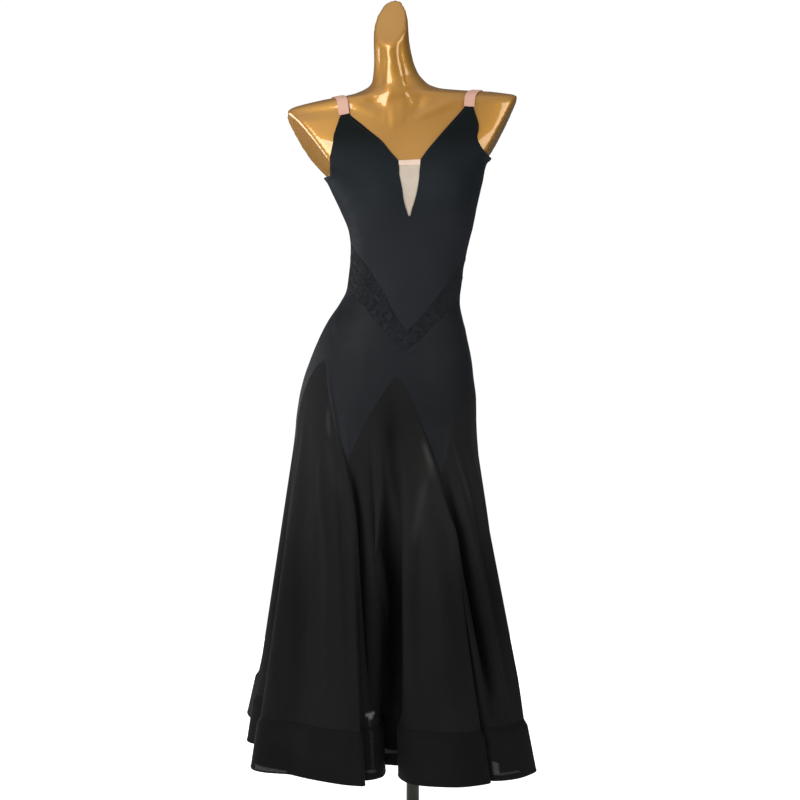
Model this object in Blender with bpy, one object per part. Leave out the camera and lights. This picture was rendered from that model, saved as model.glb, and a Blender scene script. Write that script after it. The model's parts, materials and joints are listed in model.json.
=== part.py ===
"""Sleeveless ballroom dance dress on a limbless dress form, in metres, +Z up.

The origin is on the floor, at the middle of the stand's base. The dress faces -Y, and angles round it
run in degrees from centre front, positive towards +X. Every cloth piece is a stretch of one surface,
garment_point(angle, height): a grid of its points, drawn in by half a seam gap at the edges and given
the cloth's thickness outwards. The form is the same figure without the ease.
"""

import math
from collections import namedtuple

import bmesh
import bpy
from mathutils import Vector
from mathutils.bvhtree import BVHTree

MM = 0.001

# Cloth
SEAM_GAP = 0.3 * MM  # between two pieces that are sewn together
EASE = 2.2 * MM  # from the figure to the inside of the cloth
FORM_INSET = 0.8 * MM  # the form is this much slimmer than the figure
BODICE_WALL = 1.4 * MM
LACE_WALL = 1.2 * MM
YOKE_WALL = 1.4 * MM
SKIRT_WALL = 1.2 * MM
BAND_WALL = 1.8 * MM  # double cloth over stiff braid
INSET_WALL = 1.0 * MM
BINDING_WALL = 1.6 * MM
STRAP_WALL = 1.2 * MM
STRAP_CLEARANCE = 1.3 * MM  # from the form to the strap's inside
LIMIT_OF_MITRE = 3.0
SAME_PLACE = 0.001 * MM  # points this close are one point
NEARBY_ANGLE = 0.3  # steps for the outward direction
NEARBY_HEIGHT = 1 * MM
SHARP_OVER = 40

# Heights above the floor
HEM = 0.200
BAND_TOP = 0.294
SEAT = 0.835  # below this the skirt leaves the figure
FLARE_SOFTNESS = 0.055  # how gently it does so
FORM_BOTTOM = 0.660

# Skirt
SKIRT_CENTRE_X = -0.055
SKIRT_CENTRE_Y = 0.0
BAND_STEP = 4.0 * MM  # how far the hem band stands out just below its seam
BAND_STEP_HEIGHT = 14 * MM
BAND_MIDDLE = 0.45  # the share of the band's height at which its middle row lies

# Stand
POLE_RADIUS = 12.5 * MM
FLANGE_RADIUS = 45 * MM
FLANGE_THICKNESS = 6 * MM
BASE_RADIUS = 0.170
BASE_THICKNESS = 9 * MM
HUB_RADIUS = 30 * MM
HUB_HEIGHT = 28 * MM
STAND_EDGE = 2 * MM
STAND_SIDES = 40

# How finely each piece is divided
BODICE_LOWER_ROWS = 6
BODICE_PLUNGE_ROWS = 6
INSET_COLUMNS = 4
BACK_ROWS = 7
LACE_SHARES = (0.35, 1)
GODET_COLUMNS = 18
GODET_ROWS = 8
YOKE_ROWS = 4
FORM_COLUMNS = 38

# The figure: level sections from the seat up to the neck. fullness is the exponent of the section's
# superellipse (2 is an ellipse), turn swings it about its centre, and tilt raises its +X side.
Section = namedtuple("Section", "height centre_x centre_y half_width front back fullness turn tilt")
FIGURE = (
    Section(0.660, -0.0510, 0.004, 0.1430, 0.086, 0.094, 2.10, 10, 0.0),
    Section(0.720, -0.0510, 0.003, 0.1540, 0.094, 0.106, 2.10, 10, 0.0),
    Section(0.780, -0.0510, 0.002, 0.1630, 0.101, 0.117, 2.10, 10, 0.0),
    Section(0.835, -0.0500, 0.001, 0.1680, 0.105, 0.126, 2.10, 10, 0.0),
    Section(0.875, -0.0480, 0.000, 0.1660, 0.106, 0.127, 2.10, 10, 0.0),
    Section(0.915, -0.0460, -0.001, 0.1590, 0.104, 0.121, 2.10, 10, 0.0),
    Section(0.950, -0.0420, -0.002, 0.1510, 0.100, 0.112, 2.10, 11, 0.0),
    Section(0.990, -0.0380, -0.003, 0.1390, 0.095, 0.099, 2.10, 13, 0.0),
    Section(1.027, -0.0330, -0.004, 0.1250, 0.090, 0.087, 2.10, 13, 0.0),
    Section(1.060, -0.0250, -0.004, 0.1100, 0.086, 0.079, 2.10, 10, 0.0),
    Section(1.084, -0.0180, -0.004, 0.1045, 0.084, 0.075, 2.10, 7, 0.0),
    Section(1.122, -0.0130, -0.004, 0.1040, 0.083, 0.073, 2.10, 4, 0.0),
    Section(1.160, -0.0080, -0.003, 0.1065, 0.086, 0.076, 2.15, 2, 1.0),
    Section(1.200, -0.0045, -0.001, 0.1135, 0.091, 0.082, 2.20, 2, 2.5),
    Section(1.240, -0.0075, 0.001, 0.1250, 0.096, 0.088, 2.25, 3, 4.0),
    Section(1.275, -0.0105, 0.003, 0.1370, 0.096, 0.092, 2.30, 4, 5.0),
    Section(1.305, -0.0140, 0.006, 0.1480, 0.090, 0.092, 2.35, 4, 5.5),
    Section(1.325, -0.0160, 0.009, 0.1760, 0.084, 0.090, 2.35, 4, 5.5),
    Section(1.350, -0.0210, 0.012, 0.2100, 0.077, 0.086, 2.35, 3, 5.5),
    Section(1.385, -0.0220, 0.016, 0.2360, 0.069, 0.078, 2.30, 2, 4.9),
    Section(1.412, -0.0220, 0.019, 0.2360, 0.062, 0.070, 2.25, 1, 4.9),
    Section(1.428, -0.0220, 0.021, 0.2190, 0.058, 0.064, 2.20, 0, 4.7),
    Section(1.439, -0.0375, 0.022, 0.1875, 0.056, 0.060, 2.10, 0, 4.4),
    Section(1.447, -0.0380, 0.022, 0.1340, 0.055, 0.057, 2.10, 0, 3.9),
    Section(1.455, -0.0320, 0.022, 0.0800, 0.053, 0.054, 2.05, 0, 4.0),
    Section(1.468, -0.0290, 0.021, 0.0530, 0.049, 0.050, 2.00, 0, 3.5),
    Section(1.485, -0.0330, 0.019, 0.0430, 0.045, 0.047, 2.00, 0, 3.0),
    Section(1.510, -0.0370, 0.014, 0.0370, 0.042, 0.045, 2.00, 0, 2.0),
    Section(1.550, -0.0410, 0.007, 0.0335, 0.040, 0.044, 2.00, 0, 1.0),
    Section(1.600, -0.0420, 0.001, 0.0315, 0.039, 0.043, 2.00, 0, 0.0),
    Section(1.680, -0.0430, -0.006, 0.0290, 0.037, 0.041, 2.00, 0, 0.0),
)
FORM_HEIGHTS = (
    0.695, 0.760, 0.820, 0.875, 0.925, 0.965, 1.000, 1.030, 1.060, 1.090, 1.122, 1.155, 1.190, 1.220,
    1.248, 1.274, 1.298, 1.313, 1.330, 1.354, 1.382, 1.406, 1.422, 1.434, 1.442, 1.448, 1.453, 1.460,
    1.470, 1.486, 1.512, 1.550, 1.600, 1.680,
)  # fmt: skip
FORM_EDGE = 10 * MM  # rounding of the form's lower rim
FORM_EDGE_STEPS = 3

# Bust: two soft rises on the front of the figure
BUST_HEIGHT = 1.262
BUST_RISE = 0.026
BUST_SPACING = 0.066  # from the middle to each rise
BUST_WIDTH = 0.052
BUST_ABOVE = 0.062
BUST_BELOW = 0.056
BUST_REACH = 1.6  # full over the front, and fading to nothing at the sides

# The form's flat ends. The neck's is a plane, by a point on it and the direction that is cut away. An
# arm's is one side of a wedge with its edge in the armpit: steepness is how far the face leans from the
# level, outwards and up, and turn is how far it looks to the front.
NECK_CUT_POINT = (-0.044, -0.004, 1.572)
NECK_CUT_AWAY = (-0.26, -0.72, 0.64)
ArmCut = namedtuple("ArmCut", "name armpit_x armpit_z outwards steepness turn")
ARM_CUTS = (
    ArmCut("arm_cutter_right", -0.157, 1.290, -1, 60, 20),
    ArmCut("arm_cutter_left", 0.137, 1.330, 1, 64, 9),
)
ARM_CUTTER_REACH = 0.30
ARM_CENTRE_Y = 0.010

# The skirt's folds at the hem: where each place of the hip's seam line (hip_angle) has swung to at the
# hem (angle) and how far out it stands (radius). High radii are flutes, low ones are the valleys.
Fold = namedtuple("Fold", "hip_angle angle radius")
FOLDS = (
    Fold(-91, -82, 0.212),
    Fold(-79, -67, 0.258),
    Fold(-71, -57.5, 0.285),
    Fold(-57, -42, 0.246),
    Fold(-44, -26, 0.243),
    Fold(-36, -14, 0.246),
    Fold(-31, -9, 0.246),
    Fold(-27.8, -10.5, 0.218),
    Fold(-24.6, -6.8, 0.210),
    Fold(-21.3, -1.7, 0.190),
    Fold(-18.1, -0.8, 0.165),
    Fold(-14.9, -1.9, 0.118),
    Fold(-11.7, 6.9, 0.124),
    Fold(-8.4, 15.3, 0.135),
    Fold(-5.2, 11.6, 0.168),
    Fold(-2, 9.6, 0.196),
    Fold(1.1, 11.4, 0.225),
    Fold(4.2, 13.3, 0.238),
    Fold(7.3, 16, 0.249),
    Fold(13.6, 23, 0.269),
    Fold(19.8, 30.6, 0.288),
    Fold(26, 39.5, 0.298),
    Fold(29.3, 41, 0.280),
    Fold(33, 43.5, 0.296),
    Fold(38, 46.5, 0.308),
    Fold(46, 52, 0.320),
    Fold(53, 58.5, 0.324),
    Fold(66, 68, 0.258),
    Fold(76, 77, 0.200),
    Fold(88, 90, 0.234),
    Fold(99, 101, 0.266),
    Fold(111, 112, 0.258),
    Fold(121, 121, 0.210),
    Fold(134, 133, 0.262),
    Fold(144, 144, 0.304),
    Fold(154, 154, 0.266),
    Fold(163, 163, 0.216),
    Fold(175, 176, 0.280),
    Fold(185, 187, 0.300),
    Fold(195, 197, 0.250),
    Fold(203, 206, 0.212),
    Fold(213, 217, 0.286),
    Fold(222, 230.5, 0.353),
    Fold(231, 240, 0.306),
    Fold(240, 248, 0.226),
    Fold(251, 258, 0.254),
    Fold(259, 266, 0.265),
)

# The yoke's lower edge: points that reach down between the godets, and the arch of each godet between
# one point and the next. A steepness of 1 is a straight side, and more rounds the arch's top.
YokePoint = namedtuple("YokePoint", "angle height")
YOKE_POINTS = (
    YokePoint(-91, 0.783),
    YokePoint(-31, 0.772),
    YokePoint(26, 0.742),
    YokePoint(88, 0.775),
    YokePoint(149, 0.760),
    YokePoint(209, 0.770),
)
Arch = namedtuple("Arch", "apex_angle apex_height steepness_before steepness_after")
ARCHES = (
    Arch(-62, 0.956, 2.2, 1.5),
    Arch(-2, 0.931, 1.15, 1.5),
    Arch(56, 0.905, 1.5, 1.6),
    Arch(118, 0.930, 1.6, 1.6),
    Arch(179, 0.925, 1.6, 1.6),
    Arch(239, 0.940, 1.6, 1.6),
)

# The yoke's two pieces, by the godets below them and the angles of their side seams at the top
YokeSide = namedtuple("YokeSide", "godets first last")
FRONT_YOKE = YokeSide((0, 1, 2), -90, 90)
BACK_YOKE = YokeSide((3, 4, 5), 90, 270)

# Seams round the waist, by angle and height; both dip in a V at centre front and a shallow one behind
SeamPoint = namedtuple("SeamPoint", "angle height")
BODICE_FOOT = (
    SeamPoint(-90, 1.178),
    SeamPoint(-76, 1.170),
    SeamPoint(-50, 1.141),
    SeamPoint(-32, 1.104),
    SeamPoint(-16, 1.062),
    SeamPoint(0, 1.015),
    SeamPoint(10, 1.036),
    SeamPoint(24, 1.067),
    SeamPoint(40, 1.099),
    SeamPoint(57, 1.128),
    SeamPoint(76, 1.152),
    SeamPoint(90, 1.164),
    SeamPoint(180, 1.120),
    SeamPoint(270, 1.178),
)
LACE_FOOT = (
    SeamPoint(-90, 1.090),
    SeamPoint(-76, 1.084),
    SeamPoint(-49, 1.067),
    SeamPoint(-32, 1.044),
    SeamPoint(-16, 1.014),
    SeamPoint(0, 0.976),
    SeamPoint(10, 0.996),
    SeamPoint(23, 1.023),
    SeamPoint(40, 1.043),
    SeamPoint(57, 1.056),
    SeamPoint(76, 1.070),
    SeamPoint(90, 1.077),
    SeamPoint(180, 1.046),
    SeamPoint(270, 1.090),
)

# The bodice's upper edge, front and back, with the angle of its columns' feet and how many columns
# there are up to the next point
EdgePoint = namedtuple("EdgePoint", "angle height foot_angle columns")
FRONT_EDGE_RIGHT = (  # the wearer's right, at -X
    EdgePoint(-90, 1.308, -90, 3),  # side seam
    EdgePoint(-66, 1.311, -73, 2),
    EdgePoint(-47, 1.329, -62, 2),
    EdgePoint(-34, 1.356, -53, 1),
    EdgePoint(-28, 1.385, -48, 1),
    EdgePoint(-25.8, 1.418, -42, 2),  # strap
    EdgePoint(-22, 1.420, -33, 2),
    EdgePoint(-14.2, 1.393, -22, 2),
    EdgePoint(-7, 1.361, -12, 2),
    EdgePoint(-3.8, 1.327, -2.9, 0),  # plunge
)
FRONT_EDGE_LEFT = (
    EdgePoint(4.9, 1.325, -1.5, 2),  # plunge
    EdgePoint(11, 1.352, 12, 2),
    EdgePoint(16, 1.377, 22, 2),
    EdgePoint(26.5, 1.415, 33, 2),  # strap
    EdgePoint(30.6, 1.413, 42, 1),
    EdgePoint(31, 1.391, 48, 1),
    EdgePoint(34, 1.360, 55, 2),
    EdgePoint(41, 1.339, 64, 2),
    EdgePoint(60, 1.320, 75, 3),
    EdgePoint(90, 1.312, 90, 0),  # side seam
)
BACK_EDGE = (
    EdgePoint(90, 1.312, 90, 2),
    EdgePoint(108, 1.307, 105, 2),  # strap
    EdgePoint(120, 1.297, 115, 3),
    EdgePoint(140, 1.262, 134, 3),
    EdgePoint(162, 1.231, 158, 2),
    EdgePoint(180, 1.222, 180, 2),
    EdgePoint(198, 1.231, 202, 3),
    EdgePoint(220, 1.262, 226, 3),
    EdgePoint(240, 1.296, 245, 2),  # strap
    EdgePoint(252, 1.305, 255, 2),
    EdgePoint(270, 1.308, 270, 0),
)

# The plunge at centre front: its two sides, the wearer's right (at -X) and left, by the share of the
# way up from its tip
Plunge = namedtuple("Plunge", "share right_angle right_height left_angle left_height")
PLUNGE = (
    Plunge(0.0, -2.9, 1.226, -1.5, 1.226),
    Plunge(0.36, -5.6, 1.262, 1.7, 1.262),
    Plunge(0.71, -5.5, 1.298, 4.3, 1.298),
    Plunge(0.91, -4.3, 1.318, 4.9, 1.315),
    Plunge(1.0, -3.8, 1.327, 4.9, 1.325),
)
BINDING_FOOT = 0.91  # the share at which the binding begins
TIP_LEVEL = 1.226

# Straps: the middle line from the front edge over the shoulder to the back edge, by its direction from
# a pivot inside the shoulder (0 is forwards, 90 is up) and its place across
StrapPoint = namedtuple("StrapPoint", "direction across")
STRAP_WIDTH = 19 * MM
STRAP_PIVOT_Y = 0.018
STRAP_PIVOT_Z = 1.340
STRAP_COLUMNS = 2
STRAP_ROWS = 22
STRAP_RIGHT = (
    StrapPoint(50, -0.128),
    StrapPoint(59, -0.1295),
    StrapPoint(90, -0.143),
    StrapPoint(150, -0.147),
    StrapPoint(225, -0.151),
)
STRAP_LEFT = (
    StrapPoint(56, 0.102),
    StrapPoint(64, 0.1035),
    StrapPoint(90, 0.120),
    StrapPoint(150, 0.122),
    StrapPoint(206, 0.121),
)


# ---------------------------------------------------------------- curves through tables


def even(first, last, count):
    """count + 1 values from first to last."""
    return [first + (last - first) * k / count for k in range(count + 1)]


def curve(xs, ys):
    """The smooth curve through (xs, ys) that never overshoots them, level beyond the ends."""
    steps = [(ys[i + 1] - ys[i]) / (xs[i + 1] - xs[i]) for i in range(len(xs) - 1)]
    slopes = [steps[0]]
    for before, after in zip(steps, steps[1:]):
        same_way = before * after > 0
        slopes.append(2 * before * after / (before + after) if same_way else 0.0)
    slopes.append(steps[-1])

    def value(x):
        if x <= xs[0]:
            return ys[0]
        if x >= xs[-1]:
            return ys[-1]
        i = max(k for k in range(len(xs) - 1) if xs[k] <= x)
        width = xs[i + 1] - xs[i]
        t = (x - xs[i]) / width
        return (
            ys[i] * (1 + 2 * t) * (1 - t) ** 2
            + ys[i + 1] * t * t * (3 - 2 * t)
            + slopes[i] * width * t * (1 - t) ** 2
            - slopes[i + 1] * width * t * t * (1 - t)
        )

    return value


def columns_of(table, key):
    """One curve for each other column of the table, over the key column."""
    keys = [getattr(row, key) for row in table]
    names = [name for name in table[0]._fields if name != key]
    return {name: curve(keys, [getattr(row, name) for row in table]) for name in names}


def all_round(table, key, *swung):
    """The table repeated once to each side, so that a curve through it closes after a full turn."""
    rows = []
    for turn in (-360, 0, 360):
        rows += [
            row._replace(**{name: getattr(row, name) + turn for name in (key, *swung)}) for row in table
        ]
    return rows


FIGURE_CURVES = columns_of(FIGURE, "height")
PLUNGE_CURVES = columns_of(PLUNGE, "share")
PLUNGE_SHARES = even(0, BINDING_FOOT, BODICE_PLUNGE_ROWS) + [1]
FOLD_CURVES = columns_of(all_round(FOLDS, "hip_angle", "angle"), "hip_angle")


# ---------------------------------------------------------------- the figure and the garment


def signed_power(value, power):
    return math.copysign(abs(value) ** power, value)


def bust_rise(across, height):
    reach = BUST_ABOVE if height > BUST_HEIGHT else BUST_BELOW
    upright = math.exp(-(((height - BUST_HEIGHT) / reach) ** 2))
    sides = sum(math.exp(-(((across + s * BUST_SPACING) / BUST_WIDTH) ** 2)) for s in (-1, 1))
    return BUST_RISE * upright * sides


def figure_point(angle, height, outset=0.0):
    """A point on the figure, or outset from it."""
    at = {name: value(height) for name, value in FIGURE_CURVES.items()}
    turned = math.radians(angle)
    roundness = 2 / at["fullness"]
    depth = at["front"] if math.cos(turned) > 0 else at["back"]
    across = (at["half_width"] + outset) * signed_power(math.sin(turned), roundness)
    forward = (depth + outset) * signed_power(math.cos(turned), roundness)
    if forward > 0:
        forward += bust_rise(across, height) * min(1.0, forward / depth * BUST_REACH)
    swing = math.radians(at["turn"])
    x = across * math.cos(swing) + forward * math.sin(swing)
    y = across * math.sin(swing) - forward * math.cos(swing)
    rise = math.tan(math.radians(at["tilt"])) * x
    return Vector((at["centre_x"] + x, at["centre_y"] + y, height + rise))


def flare_share(height):
    """0 on the figure, growing evenly to 1 at the hem, with a soft start round SEAT."""
    below = SEAT - height
    if below < -FLARE_SOFTNESS:
        return 0.0
    if below < FLARE_SOFTNESS:
        below = (below + FLARE_SOFTNESS) ** 2 / (4 * FLARE_SOFTNESS)
    return below / (SEAT - HEM)


def hem_point(angle):
    swung = math.radians(FOLD_CURVES["angle"](angle))
    radius = FOLD_CURVES["radius"](angle)
    return Vector(
        (SKIRT_CENTRE_X + radius * math.sin(swung), SKIRT_CENTRE_Y - radius * math.cos(swung), HEM)
    )


def garment_point(angle, height):
    """The inside of the cloth: on the figure down to the seat, and from there out to the hem's folds."""
    share = flare_share(height)
    held = figure_point(angle, max(height, SEAT), EASE)
    if share == 0.0:
        return held
    place = held.lerp(hem_point(angle), share)
    place.z = height
    return place


# ---------------------------------------------------------------- cloth walls

Spot = namedtuple("Spot", "place normal")


def spot_on(surface, angle, height):
    """A point of a surface, and the outward direction there."""
    across = surface(angle + NEARBY_ANGLE, height) - surface(angle - NEARBY_ANGLE, height)
    up = surface(angle, height + NEARBY_HEIGHT) - surface(angle, height - NEARBY_HEIGHT)
    return Spot(surface(angle, height), across.cross(up).normalized())


def ruled(foot, head, shares, surface=garment_point):
    """A patch between two edges, each a list of (angle, height) in step with the other."""
    return [
        [
            spot_on(surface, a[0] + (b[0] - a[0]) * share, a[1] + (b[1] - a[1]) * share)
            for a, b in zip(foot, head)
        ]
        for share in shares
    ]


def shares_along(row, places):
    """How far along a row each of its points lies, from 0 to 1."""
    lengths = [0.0]
    for a, b in zip(row, row[1:]):
        lengths.append(lengths[-1] + (places[b] - places[a]).length)
    return [length / lengths[-1] for length in lengths]


def triangles_between(low, high, places):
    """Triangles that join two rows: cells halved the short way, or steps where the rows don't match."""
    made = []
    if len(low) == len(high):
        for a, b, c, d in zip(low, low[1:], high[1:], high):
            if (places[a] - places[c]).length < (places[b] - places[d]).length:
                made += [(a, b, c), (a, c, d)]
            else:
                made += [(a, b, d), (b, c, d)]
        return made
    low_shares, high_shares = shares_along(low, places), shares_along(high, places)
    i = j = 0
    while i + 1 < len(low) or j + 1 < len(high):
        low_is_next = j + 1 == len(high) or (i + 1 < len(low) and low_shares[i + 1] < high_shares[j + 1])
        if low_is_next:
            made.append((low[i], low[i + 1], high[j]))
            i += 1
        else:
            made.append((low[i], high[j + 1], high[j]))
            j += 1
    return made


def cloth(name, patches, wall, material):
    """A closed wall of cloth over patches, which are rows of spots and share the edges they join at.

    A patch's rows follow each other upwards, and each runs towards +angle. The piece's edge is drawn in
    by half a seam gap, mitred at its corners, and its outer face lies `wall` outside its inner one.
    """
    spots = []
    index = {}
    cells = []
    for patch in patches:
        numbers = []
        for row in patch:
            line = []
            for spot in row:
                key = tuple(round(value / SAME_PLACE) for value in spot.place)
                if key not in index:
                    index[key] = len(spots)
                    spots.append(spot)
                line.append(index[key])
            numbers.append(line)
        for low, high in zip(numbers, numbers[1:]):
            cells += triangles_between(low, high, [spot.place for spot in spots])
    ways = {(cell[k], cell[(k + 1) % 3]) for cell in cells for k in range(3)}
    following = {a: b for a, b in ways if (b, a) not in ways}
    leading = {b: a for a, b in following.items()}

    places = [spot.place for spot in spots]
    drawn = list(places)
    for here, after in following.items():
        normal = spots[here].normal
        first = normal.cross(places[here] - places[leading[here]]).normalized()
        second = normal.cross(places[after] - places[here]).normalized()
        mitre = (first + second) / max(1 + first.dot(second), 2 / LIMIT_OF_MITRE**2)
        drawn[here] = places[here] + mitre * SEAM_GAP / 2

    mesh = bmesh.new()
    inner = [mesh.verts.new(place) for place in drawn]
    outer = [mesh.verts.new(place + spot.normal * wall) for place, spot in zip(drawn, spots)]
    for cell in cells:
        mesh.faces.new([outer[k] for k in cell])
        mesh.faces.new([inner[k] for k in reversed(cell)])
    for a, b in following.items():
        mesh.faces.new((inner[a], inner[b], outer[b], outer[a]))
    return finish(name, mesh, material)


def finish(name, mesh, material):
    data = bpy.data.meshes.new(name)
    mesh.to_mesh(data)
    mesh.free()
    data.shade_smooth()
    data.set_sharp_from_angle(angle=math.radians(SHARP_OVER))
    data.materials.append(material)
    thing = bpy.data.objects.new(name, data)
    bpy.context.scene.collection.objects.link(thing)
    return thing


def plain_material(name, colour, roughness, metallic=0.0):
    made = bpy.data.materials.new(name)
    made.use_nodes = True
    shader = made.node_tree.nodes["Principled BSDF"]
    shader.inputs["Base Color"].default_value = (*colour, 1.0)
    shader.inputs["Roughness"].default_value = roughness
    shader.inputs["Metallic"].default_value = metallic
    return made


# ---------------------------------------------------------------- bodice


def seam_line(seam, angles):
    height_at = curve([point.angle for point in seam], [point.height for point in seam])
    return [(angle, height_at(angle)) for angle in angles]


def edge_columns(edge):
    """The places of an edge's columns, and the angles of their feet."""
    places, feet = [], []
    for here, after in zip(edge, edge[1:]):
        for share in even(0, 1, here.columns)[:-1]:
            places.append(
                (
                    here.angle + (after.angle - here.angle) * share,
                    here.height + (after.height - here.height) * share,
                )
            )
            feet.append(here.foot_angle + (after.foot_angle - here.foot_angle) * share)
    places.append((edge[-1].angle, edge[-1].height))
    feet.append(edge[-1].foot_angle)
    return places, feet


def plunge_side(side, share):
    return (PLUNGE_CURVES[side + "_angle"](share), PLUNGE_CURVES[side + "_height"](share))


def upper_front(foot, head, side):
    """The bodice front beside the plunge: ruled, then bent to the plunge's side with a fading share."""
    to_plunge = -1 if side == "right" else 0
    rows = []
    for share in PLUNGE_SHARES:
        straight = [
            (a[0] + (b[0] - a[0]) * share, a[1] + (b[1] - a[1]) * share) for a, b in zip(foot, head)
        ]
        wanted = plunge_side(side, share)
        bend = (wanted[0] - straight[to_plunge][0], wanted[1] - straight[to_plunge][1])
        row = []
        for j, (angle, height) in enumerate(straight):
            nearness = j / (len(straight) - 1)
            if side == "left":
                nearness = 1 - nearness
            fade = nearness**3
            row.append(spot_on(garment_point, angle + bend[0] * fade, height + bend[1] * fade))
        rows.append(row)
    return rows


def build_bodice():
    material = plain_material("stretch_crepe", (0.012, 0.017, 0.019), 0.62)
    head_right, feet_right = edge_columns(FRONT_EDGE_RIGHT)
    head_left, feet_left = edge_columns(FRONT_EDGE_LEFT)
    level_right = [(angle, TIP_LEVEL) for angle in feet_right]
    level_left = [(angle, TIP_LEVEL) for angle in feet_left]
    lower = ruled(
        seam_line(BODICE_FOOT, feet_right + feet_left),
        level_right + level_left,
        even(0, 1, BODICE_LOWER_ROWS),
    )
    upper_right = upper_front(level_right, head_right, "right")
    upper_left = upper_front(level_left, head_left, "left")
    cloth("bodice_front", [lower, upper_right, upper_left], BODICE_WALL, material)

    head, feet = edge_columns(BACK_EDGE)
    back = ruled(seam_line(BODICE_FOOT, feet), head, even(0, 1, BACK_ROWS))
    cloth("bodice_back", [back], BODICE_WALL, material)


def plunge_patch(shares):
    rows = []
    for share in shares:
        right, left = plunge_side("right", share), plunge_side("left", share)
        rows.append(
            [
                spot_on(
                    garment_point,
                    right[0] + (left[0] - right[0]) * across,
                    right[1] + (left[1] - right[1]) * across,
                )
                for across in even(0, 1, INSET_COLUMNS)
            ]
        )
    return rows


def build_inset():
    mesh_cloth = plain_material("nude_mesh", (0.62, 0.50, 0.41), 0.55)
    cloth("plunge_inset", [plunge_patch(PLUNGE_SHARES[:-1])], INSET_WALL, mesh_cloth)
    binding = plain_material("nude_elastic", (0.80, 0.53, 0.42), 0.45)
    cloth("inset_binding", [plunge_patch(PLUNGE_SHARES[-2:])], BINDING_WALL, binding)
    return binding


# ---------------------------------------------------------------- waist, yoke and skirt


def build_lace():
    """The lace waist band: its lowest row has the yoke's columns, and the others the bodice's."""
    material = plain_material("waist_lace", (0.010, 0.011, 0.013), 0.85)
    front_feet = edge_columns(FRONT_EDGE_RIGHT)[1] + edge_columns(FRONT_EDGE_LEFT)[1]
    back_feet = edge_columns(BACK_EDGE)[1]
    for name, side, feet in (
        ("waist_band_front", FRONT_YOKE, front_feet),
        ("waist_band_back", BACK_YOKE, back_feet),
    ):
        foot, angles = yoke_columns(side)
        lowest = ruled(seam_line(LACE_FOOT, angles), seam_line(LACE_FOOT, angles), [0])
        above = ruled(seam_line(LACE_FOOT, feet), seam_line(BODICE_FOOT, feet), LACE_SHARES)
        cloth(name, [lowest + above], LACE_WALL, material)


def godet_ends(number):
    """The yoke points on either side of a godet, the second one further round."""
    first = YOKE_POINTS[number]
    second = YOKE_POINTS[(number + 1) % len(YOKE_POINTS)]
    if number + 1 == len(YOKE_POINTS):
        second = second._replace(angle=second.angle + 360)
    return first, second


def arch_line(number):
    """The curved seam at the top of a godet, from one yoke point over the apex to the next."""
    first, second = godet_ends(number)
    arch = ARCHES[number]
    half = GODET_COLUMNS // 2
    line = []
    for share in even(0, 1, half):
        rise = 1 - (1 - share) ** arch.steepness_before
        line.append(
            (
                first.angle + (arch.apex_angle - first.angle) * share,
                first.height + (arch.apex_height - first.height) * rise,
            )
        )
    for share in even(0, 1, half)[1:]:
        rise = 1 - share**arch.steepness_after
        line.append(
            (
                arch.apex_angle + (second.angle - arch.apex_angle) * share,
                second.height + (arch.apex_height - second.height) * rise,
            )
        )
    return line


def yoke_columns(side):
    """The places along a yoke's lower edge, and the angles of its columns at the upper one."""
    foot = [arch_line(side.godets[0])[0]]
    for number in side.godets:
        foot += arch_line(number)[1:]
    scale = (side.last - side.first) / (foot[-1][0] - foot[0][0])
    return foot, [side.first + (angle - foot[0][0]) * scale for angle, height in foot]


def build_yoke():
    """The hip yoke: its top edge is the lace's foot, its lower edge follows the godets' arches."""
    material = plain_material("yoke_satin", (0.016, 0.019, 0.023), 0.38)
    for name, side in (("yoke_front", FRONT_YOKE), ("yoke_back", BACK_YOKE)):
        foot, angles = yoke_columns(side)
        patch = ruled(foot, seam_line(LACE_FOOT, angles), even(0, 1, YOKE_ROWS))
        cloth(name, [patch], YOKE_WALL, material)


def band_point(angle, height):
    """The inside of the hem band, which steps out just below its seam."""
    share = min(1.0, max(0.0, (BAND_TOP - height) / BAND_STEP_HEIGHT))
    place, normal = spot_on(garment_point, angle, height)
    return place + normal * BAND_STEP * share**2 * (3 - 2 * share)


def build_skirt():
    chiffon = plain_material("skirt_chiffon", (0.010, 0.010, 0.011), 0.80)
    braided = plain_material("hem_braid_cloth", (0.012, 0.011, 0.012), 0.75)
    band_shares = (0, BAND_MIDDLE, 1 - BAND_STEP_HEIGHT / (BAND_TOP - HEM), 1)
    for number in range(len(YOKE_POINTS)):
        head = arch_line(number)
        seam = [(angle, BAND_TOP) for angle, height in head]
        hem = [(angle, HEM) for angle, height in head]
        panel = ruled(seam, head, even(0, 1, GODET_ROWS))
        band = ruled(hem, seam, band_shares, band_point)
        cloth(f"skirt_godet_{number + 1}", [panel], SKIRT_WALL, chiffon)
        cloth(f"hem_band_{number + 1}", [band], BAND_WALL, braided)


# ---------------------------------------------------------------- dress form, straps and stand


def form_rings():
    """Level rings of the figure, with a rounded lower rim."""
    angles = even(0, 360, FORM_COLUMNS)[:-1]
    rings = []
    for step in range(FORM_EDGE_STEPS):
        turned = math.radians(90 * step / FORM_EDGE_STEPS)
        inset = FORM_EDGE * (1 - math.sin(turned)) + FORM_INSET
        height = FORM_BOTTOM + FORM_EDGE * (1 - math.cos(turned))
        rings.append([figure_point(angle, height, -inset) for angle in angles])
    for height in FORM_HEIGHTS:
        rings.append([figure_point(angle, height, -FORM_INSET) for angle in angles])
    return rings


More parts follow.
